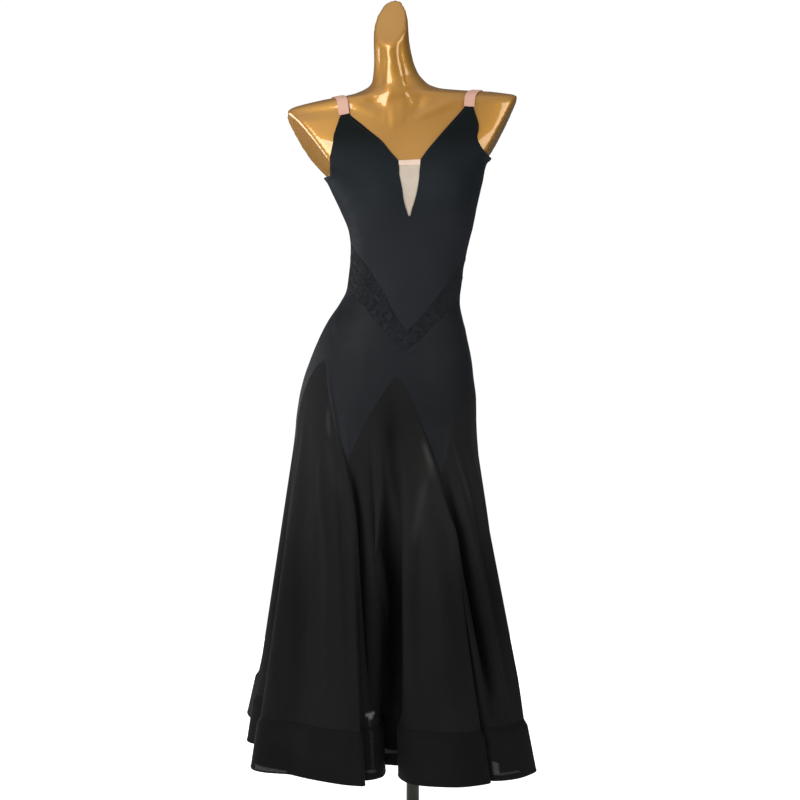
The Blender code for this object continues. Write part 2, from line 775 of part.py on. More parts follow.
def build_form():
    mesh = bmesh.new()
    rings = [[mesh.verts.new(place) for place in ring] for ring in form_rings()]
    for low, high in zip(rings, rings[1:]):
        for j in range(FORM_COLUMNS):
            k = (j + 1) % FORM_COLUMNS
            mesh.faces.new((low[j], low[k], high[k], high[j]))
    mesh.faces.new(reversed(rings[0]))
    mesh.faces.new(rings[-1])
    bmesh.ops.bisect_plane(
        mesh,
        geom=mesh.verts[:] + mesh.edges[:] + mesh.faces[:],
        dist=0.1 * MM,
        plane_co=NECK_CUT_POINT,
        plane_no=NECK_CUT_AWAY,
        clear_outer=True,
    )
    rim = [edge for edge in mesh.edges if edge.is_boundary]
    bmesh.ops.holes_fill(mesh, edges=rim, sides=0)
    gold = plain_material("gold_gloss", (0.42, 0.23, 0.05), 0.16, 0.85)
    form = finish("dress_form", mesh, gold)
    for cut in ARM_CUTS:
        trim = form.modifiers.new(cut.name, "BOOLEAN")
        trim.object = arm_cutter(cut, gold)
        trim.operation = "DIFFERENCE"
    bpy.context.view_layer.update()
    return form


def arm_cutter(cut, material):
    """A wedge that lies outside an arm's flat end, with its edge in the armpit."""
    lean = math.radians(cut.steepness)
    corners = (
        (0, 0),
        (cut.outwards * ARM_CUTTER_REACH, 0),
        (cut.outwards * ARM_CUTTER_REACH, ARM_CUTTER_REACH * math.tan(lean)),
    )
    mesh = bmesh.new()
    front, back = (
        [mesh.verts.new((x, y, z)) for x, z in corners]
        for y in (-ARM_CUTTER_REACH, ARM_CUTTER_REACH)
    )
    mesh.faces.new(front)
    mesh.faces.new(reversed(back))
    for k in range(3):
        mesh.faces.new((front[k], back[k], back[(k + 1) % 3], front[(k + 1) % 3]))
    bmesh.ops.recalc_face_normals(mesh, faces=mesh.faces)
    cutter = finish(cut.name, mesh, material)
    cutter.location = (cut.armpit_x, ARM_CENTRE_Y, cut.armpit_z)
    cutter.rotation_euler.z = math.radians(-cut.outwards * cut.turn)
    cutter.hide_render = True
    cutter.display_type = "WIRE"
    return cutter


def strap_way(direction):
    turned = math.radians(direction)
    return Vector((0, -math.cos(turned), math.sin(turned)))


def form_reach(tree, pivot, direction):
    """How far the form reaches from a point inside it."""
    outward = strap_way(direction)
    hit = tree.ray_cast(pivot + outward, -outward)[0]
    return (hit - pivot).length


def strap_patch(route, front_edge, back_edge, tree):
    """A strap over the shoulder: its ends are the bodice's edges, and it lies on the form between."""
    place_at = curve([point.direction for point in route], [point.across for point in route])
    directions = even(route[0].direction, route[-1].direction, STRAP_ROWS)
    step = directions[1] - directions[0]
    offsets = even(-STRAP_WIDTH / 2, STRAP_WIDTH / 2, STRAP_COLUMNS)
    places = [[spot.place for spot in front_edge]]
    for direction in directions[1:-1]:
        row = []
        for offset in offsets:
            pivot = Vector((place_at(direction) + offset, STRAP_PIVOT_Y, STRAP_PIVOT_Z))
            nearby = [direction + step * share for share in (-0.5, 0, 0.5)]
            reach = max(form_reach(tree, pivot, aside) for aside in nearby)
            row.append(pivot + strap_way(direction) * (reach + STRAP_CLEARANCE))
        places.append(row)
    places.append([spot.place for spot in back_edge])
    last_column = len(front_edge) - 1
    patch = [front_edge]
    for before, row, after in zip(places, places[1:], places[2:]):
        line = []
        for j, place in enumerate(row):
            across = row[min(j + 1, last_column)] - row[max(j - 1, 0)]
            on = after[j] - before[j]
            line.append(Spot(place, across.cross(on).normalized()))
        patch.append(line)
    patch.append(back_edge)
    return patch


def strap_edge(edge, first):
    """Where a strap meets an edge of the bodice, from that point of the edge to the next."""
    here, after = edge[first], edge[first + 1]
    return [
        spot_on(
            garment_point,
            here.angle + (after.angle - here.angle) * share,
            here.height + (after.height - here.height) * share,
        )
        for share in even(0, 1, STRAP_COLUMNS)
    ]


def build_straps(form, material):
    tree = BVHTree.FromObject(form, bpy.context.evaluated_depsgraph_get())
    right = strap_patch(
        STRAP_RIGHT, strap_edge(FRONT_EDGE_RIGHT, 5), strap_edge(BACK_EDGE, 8)[::-1], tree
    )
    left = strap_patch(
        STRAP_LEFT, strap_edge(FRONT_EDGE_LEFT, 3), strap_edge(BACK_EDGE, 1)[::-1], tree
    )
    cloth("strap_right", [right], STRAP_WALL, material)
    cloth("strap_left", [left], STRAP_WALL, material)


def turned_piece(name, profile, material):
    """A solid of revolution about the pole's axis, from (radius, height) pairs going up its outside."""
    mesh = bmesh.new()
    rings = []
    for radius, height in profile:
        ring = []
        for step in range(STAND_SIDES):
            turn = 2 * math.pi * step / STAND_SIDES
            ring.append(mesh.verts.new((radius * math.cos(turn), radius * math.sin(turn), height)))
        rings.append(ring)
    for low, high in zip(rings, rings[1:]):
        for j in range(STAND_SIDES):
            k = (j + 1) % STAND_SIDES
            mesh.faces.new((low[j], low[k], high[k], high[j]))
    mesh.faces.new(reversed(rings[0]))
    mesh.faces.new(rings[-1])
    return finish(name, mesh, material)


def build_stand():
    steel = plain_material("stand_steel", (0.10, 0.095, 0.085), 0.35, 0.9)
    hub_top = BASE_THICKNESS + HUB_HEIGHT
    turned_piece(
        "stand_base",
        (
            (BASE_RADIUS, 0),
            (BASE_RADIUS, BASE_THICKNESS - STAND_EDGE),
            (BASE_RADIUS - STAND_EDGE, BASE_THICKNESS),
            (HUB_RADIUS, BASE_THICKNESS),
            (HUB_RADIUS, hub_top - STAND_EDGE),
            (HUB_RADIUS - STAND_EDGE, hub_top),
        ),
        steel,
    )
    flange_top = FORM_BOTTOM - SEAM_GAP
    turned_piece(
        "stand_pole",
        (
            (POLE_RADIUS, hub_top + SEAM_GAP),
            (POLE_RADIUS, flange_top - FLANGE_THICKNESS),
            (FLANGE_RADIUS, flange_top - FLANGE_THICKNESS),
            (FLANGE_RADIUS, flange_top),
        ),
        steel,
    )


def build_all():
    for thing in list(bpy.data.objects):
        bpy.data.objects.remove(thing)
    build_bodice()
    binding = build_inset()
    build_lace()
    build_yoke()
    build_skirt()
    form = build_form()
    build_straps(form, binding)
    build_stand()


build_all()
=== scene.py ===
"""The looks of a black ballroom dance dress on a gold dress form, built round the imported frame.

Metres, +Z up. The dress faces -Y, and angles round it run in degrees from centre front, positive
towards +X. Every cloth piece is a thin shell over one surface, garment(angle, height), which is the
surface of the solids, with creases, seams and edges added here.
"""

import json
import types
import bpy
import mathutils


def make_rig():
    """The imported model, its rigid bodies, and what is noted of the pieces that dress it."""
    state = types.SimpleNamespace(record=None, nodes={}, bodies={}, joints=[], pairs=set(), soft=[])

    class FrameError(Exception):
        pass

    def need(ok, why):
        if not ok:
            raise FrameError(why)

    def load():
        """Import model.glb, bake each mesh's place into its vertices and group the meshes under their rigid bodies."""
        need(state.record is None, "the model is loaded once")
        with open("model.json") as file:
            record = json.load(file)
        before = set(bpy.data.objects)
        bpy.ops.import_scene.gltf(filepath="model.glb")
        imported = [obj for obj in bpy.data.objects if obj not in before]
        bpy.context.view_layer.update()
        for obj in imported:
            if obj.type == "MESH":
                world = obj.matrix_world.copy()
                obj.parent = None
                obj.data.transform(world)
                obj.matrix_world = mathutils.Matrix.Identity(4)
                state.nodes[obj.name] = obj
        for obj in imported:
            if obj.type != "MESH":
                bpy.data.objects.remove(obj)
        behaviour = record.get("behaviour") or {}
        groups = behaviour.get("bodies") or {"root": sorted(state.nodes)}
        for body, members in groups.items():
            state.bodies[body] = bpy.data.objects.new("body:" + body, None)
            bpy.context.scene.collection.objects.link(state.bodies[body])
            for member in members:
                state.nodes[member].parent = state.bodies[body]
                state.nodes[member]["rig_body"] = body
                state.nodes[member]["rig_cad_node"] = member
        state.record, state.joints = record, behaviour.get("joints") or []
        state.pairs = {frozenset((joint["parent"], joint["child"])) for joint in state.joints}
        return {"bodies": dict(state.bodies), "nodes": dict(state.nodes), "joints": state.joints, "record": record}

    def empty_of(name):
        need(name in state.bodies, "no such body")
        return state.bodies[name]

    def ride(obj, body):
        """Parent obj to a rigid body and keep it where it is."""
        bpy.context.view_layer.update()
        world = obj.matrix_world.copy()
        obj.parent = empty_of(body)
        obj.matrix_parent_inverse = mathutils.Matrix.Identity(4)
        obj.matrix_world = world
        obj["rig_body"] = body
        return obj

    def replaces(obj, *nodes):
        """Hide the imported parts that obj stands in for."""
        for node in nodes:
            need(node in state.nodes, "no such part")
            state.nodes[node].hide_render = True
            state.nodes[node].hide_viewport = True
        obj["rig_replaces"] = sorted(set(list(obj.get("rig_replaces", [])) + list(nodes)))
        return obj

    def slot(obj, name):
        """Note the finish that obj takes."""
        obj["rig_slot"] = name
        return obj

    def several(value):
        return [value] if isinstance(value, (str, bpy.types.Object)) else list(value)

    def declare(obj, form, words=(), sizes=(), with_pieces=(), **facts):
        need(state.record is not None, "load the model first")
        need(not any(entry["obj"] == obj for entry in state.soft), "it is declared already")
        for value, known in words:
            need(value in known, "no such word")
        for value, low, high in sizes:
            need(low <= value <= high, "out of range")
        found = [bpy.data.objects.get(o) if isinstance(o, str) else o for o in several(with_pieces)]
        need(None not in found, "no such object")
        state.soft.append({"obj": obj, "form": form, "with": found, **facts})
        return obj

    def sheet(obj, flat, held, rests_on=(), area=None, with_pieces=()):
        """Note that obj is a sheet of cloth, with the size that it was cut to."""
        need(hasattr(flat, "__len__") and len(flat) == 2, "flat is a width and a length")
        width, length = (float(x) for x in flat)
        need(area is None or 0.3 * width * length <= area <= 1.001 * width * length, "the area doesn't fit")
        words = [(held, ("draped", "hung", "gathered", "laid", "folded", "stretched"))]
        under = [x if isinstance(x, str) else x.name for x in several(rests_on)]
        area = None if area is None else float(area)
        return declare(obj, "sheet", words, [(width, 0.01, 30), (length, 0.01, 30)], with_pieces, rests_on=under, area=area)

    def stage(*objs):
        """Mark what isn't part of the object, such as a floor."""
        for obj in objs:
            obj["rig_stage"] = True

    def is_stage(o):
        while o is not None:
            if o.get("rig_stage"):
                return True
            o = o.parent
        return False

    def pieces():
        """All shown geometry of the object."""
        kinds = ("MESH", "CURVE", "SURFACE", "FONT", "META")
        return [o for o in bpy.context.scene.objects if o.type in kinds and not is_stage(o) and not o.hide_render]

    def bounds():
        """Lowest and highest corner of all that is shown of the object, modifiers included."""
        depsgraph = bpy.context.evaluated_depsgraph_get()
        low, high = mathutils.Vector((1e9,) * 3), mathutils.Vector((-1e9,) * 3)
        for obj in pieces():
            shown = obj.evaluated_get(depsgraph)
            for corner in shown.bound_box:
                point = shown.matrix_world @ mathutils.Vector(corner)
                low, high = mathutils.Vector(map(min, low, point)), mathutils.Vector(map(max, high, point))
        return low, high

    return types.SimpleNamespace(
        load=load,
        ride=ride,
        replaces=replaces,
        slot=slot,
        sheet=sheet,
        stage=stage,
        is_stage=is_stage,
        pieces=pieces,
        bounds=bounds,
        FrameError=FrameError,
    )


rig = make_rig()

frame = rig.load()
CAD_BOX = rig.bounds()

import json
import math
from collections import namedtuple

import bmesh
import bpy
import numpy as np
from mathutils import Vector
from mathutils.bvhtree import BVHTree

MM = 0.001
BODY = "root"


def rows(columns, *values):
    """A table: the names of its columns, then its rows."""
    row = namedtuple("Row", columns)
    return tuple(row(*value) for value in values)


# ---------------------------------------------------------------- sizes, as in the solids

EASE = 2.2 * MM  # from the figure to the cloth
FORM_INSET = 0.8 * MM  # from the figure to the form
HEM = 0.200
BAND_TOP = 0.294
SEAT = 0.835
FLARE_SOFTNESS = 0.055
FORM_BOTTOM = 0.660
SKIRT_CENTRE_X = -0.055
BAND_STEP = 4.0 * MM
BAND_STEP_HEIGHT = 14 * MM
NEARBY_ANGLE = 0.3  # how far off the slope of a surface is read
NEARBY_HEIGHT = 1 * MM

BODICE_WALL = 1.2 * MM
LACE_WALL = 1.0 * MM
YOKE_WALL = 1.2 * MM
SKIRT_WALL = 1.0 * MM
BAND_WALL = 1.7 * MM
INSET_WALL = 0.7 * MM
BINDING_WALL = 1.5 * MM
STRAP_WALL = 1.2 * MM

# Sections of the body: sizes in metres, turn and tilt in degrees; a fullness of 2 is an ellipse,
# and a higher one is squarer
FIGURE = rows(
    "height centre_x centre_y half_width front back fullness turn tilt",
    (0.660, -0.0510, 0.004, 0.1430, 0.086, 0.094, 2.10, 10, 0.0),
    (0.720, -0.0510, 0.003, 0.1540, 0.094, 0.106, 2.10, 10, 0.0),
    (0.780, -0.0510, 0.002, 0.1630, 0.101, 0.117, 2.10, 10, 0.0),
    (0.835, -0.0500, 0.001, 0.1680, 0.105, 0.126, 2.10, 10, 0.0),
    (0.875, -0.0480, 0.000, 0.1660, 0.106, 0.127, 2.10, 10, 0.0),
    (0.915, -0.0460, -0.001, 0.1590, 0.104, 0.121, 2.10, 10, 0.0),
    (0.950, -0.0420, -0.002, 0.1510, 0.100, 0.112, 2.10, 11, 0.0),
    (0.990, -0.0380, -0.003, 0.1390, 0.095, 0.099, 2.10, 13, 0.0),
    (1.027, -0.0330, -0.004, 0.1250, 0.090, 0.087, 2.10, 13, 0.0),
    (1.060, -0.0250, -0.004, 0.1100, 0.086, 0.079, 2.10, 10, 0.0),
    (1.084, -0.0180, -0.004, 0.1045, 0.084, 0.075, 2.10, 7, 0.0),
    (1.122, -0.0130, -0.004, 0.1040, 0.083, 0.073, 2.10, 4, 0.0),
    (1.160, -0.0080, -0.003, 0.1065, 0.086, 0.076, 2.15, 2, 1.0),
    (1.200, -0.0045, -0.001, 0.1135, 0.091, 0.082, 2.20, 2, 2.5),
    (1.240, -0.0075, 0.001, 0.1250, 0.096, 0.088, 2.25, 3, 4.0),
    (1.275, -0.0105, 0.003, 0.1370, 0.096, 0.092, 2.30, 4, 5.0),
    (1.305, -0.0140, 0.006, 0.1480, 0.090, 0.092, 2.35, 4, 5.5),
    (1.325, -0.0160, 0.009, 0.1760, 0.084, 0.090, 2.35, 4, 5.5),
    (1.350, -0.0210, 0.012, 0.2100, 0.077, 0.086, 2.35, 3, 5.5),
    (1.385, -0.0220, 0.016, 0.2360, 0.069, 0.078, 2.30, 2, 4.9),
    (1.412, -0.0220, 0.019, 0.2360, 0.062, 0.070, 2.25, 1, 4.9),
    (1.428, -0.0220, 0.021, 0.2190, 0.058, 0.064, 2.20, 0, 4.7),
    (1.439, -0.0375, 0.022, 0.1875, 0.056, 0.060, 2.10, 0, 4.4),
    (1.447, -0.0380, 0.022, 0.1340, 0.055, 0.057, 2.10, 0, 3.9),
    (1.455, -0.0320, 0.022, 0.0800, 0.053, 0.054, 2.05, 0, 4.0),
    (1.468, -0.0290, 0.021, 0.0530, 0.049, 0.050, 2.00, 0, 3.5),
    (1.485, -0.0330, 0.019, 0.0430, 0.045, 0.047, 2.00, 0, 3.0),
    (1.510, -0.0370, 0.014, 0.0370, 0.042, 0.045, 2.00, 0, 2.0),
    (1.550, -0.0410, 0.007, 0.0335, 0.040, 0.044, 2.00, 0, 1.0),
    (1.600, -0.0420, 0.001, 0.0315, 0.039, 0.043, 2.00, 0, 0.0),
    (1.680, -0.0430, -0.006, 0.0290, 0.037, 0.041, 2.00, 0, 0.0),
)
BUST_HEIGHT = 1.262
BUST_RISE = 0.026
BUST_SPACING = 0.066
BUST_WIDTH = 0.052
BUST_ABOVE = 0.062
BUST_BELOW = 0.056
BUST_REACH = 1.6

NECK_CUT_POINT = (-0.044, -0.004, 1.5714)
NECK_CUT_AWAY = (-0.25, -0.75, 0.615)
ARM_CUTS = rows(
    "name armpit_x armpit_z outwards steepness turn",
    ("arm_cutter_right", -0.157, 1.290, -1, 60, 20),
    ("arm_cutter_left", 0.137, 1.330, 1, 64, 9),
)
ARM_CUTTER_REACH = 0.30
ARM_CENTRE_Y = 0.010

# The hem's folds: where a place at the hip comes down to, round SKIRT_CENTRE_X
FOLDS = rows(
    "hip_angle angle radius",
    (-91, -82, 0.212), (-79, -67, 0.258), (-71, -57.5, 0.285), (-57, -42, 0.246), (-44, -26, 0.243),
    (-36, -14, 0.246), (-31, -9, 0.246), (-27.8, -10.5, 0.218), (-24.6, -6.8, 0.210),
    (-21.3, -1.7, 0.190), (-18.1, -0.8, 0.165), (-14.9, -1.9, 0.118), (-11.7, 6.9, 0.124),
    (-8.4, 15.3, 0.135), (-5.2, 11.6, 0.168), (-2, 9.6, 0.196), (1.1, 11.4, 0.225),
    (4.2, 13.3, 0.238), (7.3, 16, 0.249), (13.6, 23, 0.269), (19.8, 30.6, 0.288), (26, 39.5, 0.298),
    (29.3, 41, 0.280), (33, 43.5, 0.296), (38, 46.5, 0.308), (46, 52, 0.320), (53, 58.5, 0.324),
    (66, 68, 0.258), (76, 77, 0.200), (88, 90, 0.234), (99, 101, 0.266), (111, 112, 0.258),
    (121, 121, 0.210), (134, 133, 0.262), (144, 144, 0.304), (154, 154, 0.266), (163, 163, 0.216),
    (175, 176, 0.280), (185, 187, 0.300), (195, 197, 0.250), (203, 206, 0.212), (213, 217, 0.286),
    (222, 230.5, 0.353), (231, 240, 0.306), (240, 248, 0.226), (251, 258, 0.254), (259, 266, 0.265),
)

# The yoke's tongues end at these points, and the godets rise between them
YOKE_POINTS = rows(
    "angle height",
    (-91, 0.783), (-31, 0.772), (26, 0.742), (88, 0.775), (149, 0.760), (209, 0.770),
)
ARCHES = rows(
    "apex_angle apex_height steepness_before steepness_after",
    (-62, 0.956, 2.2, 1.5), (-2, 0.931, 1.15, 1.5), (56, 0.905, 1.5, 1.6), (118, 0.930, 1.6, 1.6),
    (179, 0.925, 1.6, 1.6), (239, 0.940, 1.6, 1.6),
)
YOKE_SIDES = rows(
    "name godets first last",
    ("front", (0, 1, 2), -90, 90), ("back", (3, 4, 5), 90, 270),
)

BODICE_FOOT = rows(
    "angle height",
    (-90, 1.178), (-76, 1.170), (-50, 1.141), (-32, 1.104), (-16, 1.062), (0, 1.015), (10, 1.036),
    (24, 1.067), (40, 1.099), (57, 1.128), (76, 1.152), (90, 1.164), (180, 1.120), (270, 1.178),
)
LACE_FOOT = rows(
    "angle height",
    (-90, 1.090), (-76, 1.084), (-49, 1.067), (-32, 1.044), (-16, 1.014), (0, 0.976), (10, 0.996),
    (23, 1.023), (40, 1.043), (57, 1.056), (76, 1.070), (90, 1.077), (180, 1.046), (270, 1.090),
)


def edge_runs(*runs):
    return [rows("angle height foot_angle", *run) for run in runs]


# The bodice's upper edge, in runs that meet at its corners
FRONT_EDGE_RIGHT = edge_runs(
    (
        (-90, 1.308, -90), (-66, 1.311, -73), (-47, 1.329, -62), (-34, 1.356, -53),
        (-28, 1.385, -48), (-25.8, 1.418, -42),
    ),
    ((-25.8, 1.418, -42), (-22, 1.420, -33)),
    ((-22, 1.420, -33), (-14.2, 1.393, -22), (-7, 1.361, -12), (-3.8, 1.327, -2.9)),
)
FRONT_EDGE_LEFT = edge_runs(
    ((4.9, 1.325, -1.5), (11, 1.352, 12), (16, 1.377, 22), (26.5, 1.415, 33)),
    ((26.5, 1.415, 33), (30.6, 1.413, 42)),
    (
        (30.6, 1.413, 42), (31, 1.391, 48), (34, 1.360, 55), (41, 1.339, 64), (60, 1.320, 75),
        (90, 1.312, 90),
    ),
)
BACK_EDGE = edge_runs(
    ((90, 1.312, 90), (108, 1.307, 105)),
    ((108, 1.307, 105), (120, 1.297, 115)),
    (
        (120, 1.297, 115), (140, 1.262, 134), (162, 1.231, 158), (180, 1.222, 180),
        (198, 1.231, 202), (220, 1.262, 226), (240, 1.296, 245),
    ),
    ((240, 1.296, 245), (252, 1.305, 255)),
    ((252, 1.305, 255), (270, 1.308, 270)),
)
# The sides of the plunge, from its tip up to the neckline
PLUNGE = rows(
    "share right_angle right_height left_angle left_height",
    (0.0, -2.9, 1.226, -1.5, 1.226), (0.36, -5.6, 1.262, 1.7, 1.262),
    (0.71, -5.5, 1.298, 4.3, 1.298), (0.91, -4.3, 1.318, 4.9, 1.315),
    (1.0, -3.8, 1.327, 4.9, 1.325),
)
BINDING_FOOT = 0.91
TIP_LEVEL = 1.226

STRAP_WIDTH = 19 * MM
STRAP_PIVOT_Y = 0.018
STRAP_PIVOT_Z = 1.340
STRAP_CLEARANCE = 1.1 * MM
# Across, where the straps lie; the direction turns from the front over the shoulder to the back
STRAP_RIGHT = rows(
    "direction across",
    (50, -0.128), (59, -0.1295), (90, -0.143), (150, -0.147), (225, -0.151),
)
STRAP_LEFT = rows(
    "direction across",
    (56, 0.102), (64, 0.1035), (90, 0.120), (150, 0.122), (206, 0.121),
)

POLE_RADIUS = 12.5 * MM
FLANGE_RADIUS = 45 * MM
FLANGE_THICKNESS = 6 * MM
BASE_RADIUS = 0.170
BASE_THICKNESS = 9 * MM
HUB_RADIUS = 30 * MM
HUB_HEIGHT = 28 * MM


# ---------------------------------------------------------------- curves through tables


def curve(xs, ys):
    """The smooth curve through (xs, ys) that never overshoots them, level beyond the ends."""
    xs, ys = np.array(xs, float), np.array(ys, float)
    steps = np.diff(ys) / np.diff(xs)
    before, after = steps[:-1], steps[1:]
    same_way = before * after > 0
    total = np.where(same_way, before + after, 1.0)
    inner = np.where(same_way, 2 * before * after / total, 0.0)
    slopes = np.concatenate([steps[:1], inner, steps[-1:]])

    def value(x):
        x = np.clip(x, xs[0], xs[-1])
        i = np.clip(np.searchsorted(xs, x, side="right") - 1, 0, len(xs) - 2)
        width = xs[i + 1] - xs[i]
        t = (x - xs[i]) / width
        return (
            ys[i] * (1 + 2 * t) * (1 - t) ** 2
            + ys[i + 1] * t * t * (3 - 2 * t)
            + slopes[i] * width * t * (1 - t) ** 2
            - slopes[i + 1] * width * t * t * (1 - t)
        )

    return value


def columns_of(table, key):
    """For each column of a table but its key, the curve of that column over the key."""
    keys = [getattr(row, key) for row in table]
    names = [name for name in table[0]._fields if name != key]
    return {name: curve(keys, [getattr(row, name) for row in table]) for name in names}


def all_round(table, *angles):
    """The rows three times, a turn apart, so that the curves through them have no ends nearby."""
    return [
        row._replace(**{name: getattr(row, name) + turn for name in angles})
        for turn in (-360, 0, 360)
        for row in table
    ]


FIGURE_CURVES = columns_of(FIGURE, "height")
PLUNGE_CURVES = columns_of(PLUNGE, "share")
FOLD_CURVES = columns_of(all_round(FOLDS, "hip_angle", "angle"), "hip_angle")


def ease(value, start, end):
    """0 at start, 1 at end, level and smooth at both."""
    t = np.clip((value - start) / (end - start), 0, 1)
    return t * t * (3 - 2 * t)


def within(value, low, high, outside, inside):
    """1 between two bounds, fading to 0 from a little inside them to a little outside."""
    return ease(value, low - outside, low + inside) * ease(-value, -high - outside, -high + inside)


def smoothed(line):
    """The inner values of a line, each drawn a little to its neighbours."""
    return (line[:-2] + 2 * line[1:-1] + line[2:]) / 4


def hump(value, centre, reach):
    return np.exp(-(((value - centre) / reach) ** 2))


def mix(a, b, share):
    return a + (b - a) * share


def same_shape(angle, height):
    return np.broadcast_arrays(np.asarray(angle, float), np.asarray(height, float))


def angle_from(angle, start):
    """The angle from a start to a place, the shorter way round."""
    return (angle - start + 180) % 360 - 180


def travelled_along(*lines):
    """How far each place of a line lies from its start, summed over the lines."""
    steps = sum(np.linalg.norm(np.diff(line, axis=0), axis=1) for line in lines)
    return np.concatenate([[0], np.cumsum(steps)])


# ---------------------------------------------------------------- the figure and the garment


def signed_power(value, power):
    return np.copysign(np.abs(value) ** power, value)


def figure(angle, height, outset=0.0):
    """Places on the body, which has no arms and no legs."""
    angle, height = same_shape(angle, height)
    at = {name: value(height) for name, value in FIGURE_CURVES.items()}
    turned = np.radians(angle)
    roundness = 2 / at["fullness"]
    depth = np.where(np.cos(turned) > 0, at["front"], at["back"])
    across = (at["half_width"] + outset) * signed_power(np.sin(turned), roundness)
    forward = (depth + outset) * signed_power(np.cos(turned), roundness)
    reach = np.where(height > BUST_HEIGHT, BUST_ABOVE, BUST_BELOW)
    sides = hump(across, BUST_SPACING, BUST_WIDTH) + hump(across, -BUST_SPACING, BUST_WIDTH)
    bust = BUST_RISE * hump(height, BUST_HEIGHT, reach) * sides
    forward = forward + bust * np.clip(forward / depth * BUST_REACH, 0, 1)
    swing = np.radians(at["turn"])
    x = across * np.cos(swing) + forward * np.sin(swing)
    y = across * np.sin(swing) - forward * np.cos(swing)
    rise = np.tan(np.radians(at["tilt"])) * x
    return np.stack([at["centre_x"] + x, at["centre_y"] + y, height + rise], -1)


def flare_share(height):
    """How far the cloth has gone from the seat's section to the hem's, with a soft start."""
    below = SEAT - height
    soft = (np.clip(below, -FLARE_SOFTNESS, FLARE_SOFTNESS) + FLARE_SOFTNESS) ** 2
    soft = soft / (4 * FLARE_SOFTNESS)
    return np.where(below < FLARE_SOFTNESS, soft, below) / (SEAT - HEM)


def hem_place(angle):
    """Where the hem is below a place of the hip."""
    swung = np.radians(FOLD_CURVES["angle"](angle))
    radius = FOLD_CURVES["radius"](angle)
    across, back = radius * np.sin(swung), -radius * np.cos(swung)
    return np.stack([SKIRT_CENTRE_X + across, back, np.full_like(radius, HEM)], -1)


def garment(angle, height):
    """The surface of the cloth: close to the figure down to the seat, and flared below it."""
    angle, height = same_shape(angle, height)
    share = flare_share(height)
    held = figure(angle, np.maximum(height, SEAT), EASE)
    place = mix(held, hem_place(angle), share[..., None])
    place[..., 2] = np.where(share > 0, height, held[..., 2])
    return place


def outward(surface, angle, height):
    """The way out of a surface at each place, of length 1."""
    across = surface(angle + NEARBY_ANGLE, height) - surface(angle - NEARBY_ANGLE, height)
    up = surface(angle, height + NEARBY_HEIGHT) - surface(angle, height - NEARBY_HEIGHT)
    normal = np.cross(across, up)
    return normal / np.linalg.norm(normal, axis=-1, keepdims=True)


def raised(surface, angle, height, rise):
    return surface(angle, height) + outward(surface, angle, height) * np.asarray(rise)[..., None]


def band_surface(angle, height):
    """The garment, but the hem bands stand out a step from the godets."""
    step = BAND_STEP * ease(BAND_TOP - height, 0, BAND_STEP_HEIGHT)
    return raised(garment, angle, height, step)


# ---------------------------------------------------------------- creases

# A soft ridge down the skirt, or a trough where its rise is negative, through (height, angle, rise)
# in metres, degrees and millimetres. It reaches before degrees towards the wearer's right and after
# degrees towards the left. A high squareness gives it a flat floor and steep sides.
Crease = namedtuple("Crease", "before after squareness path")


def crease(before, after, squareness, *places):
    return Crease(before, after, squareness, rows("height angle rise", *places))


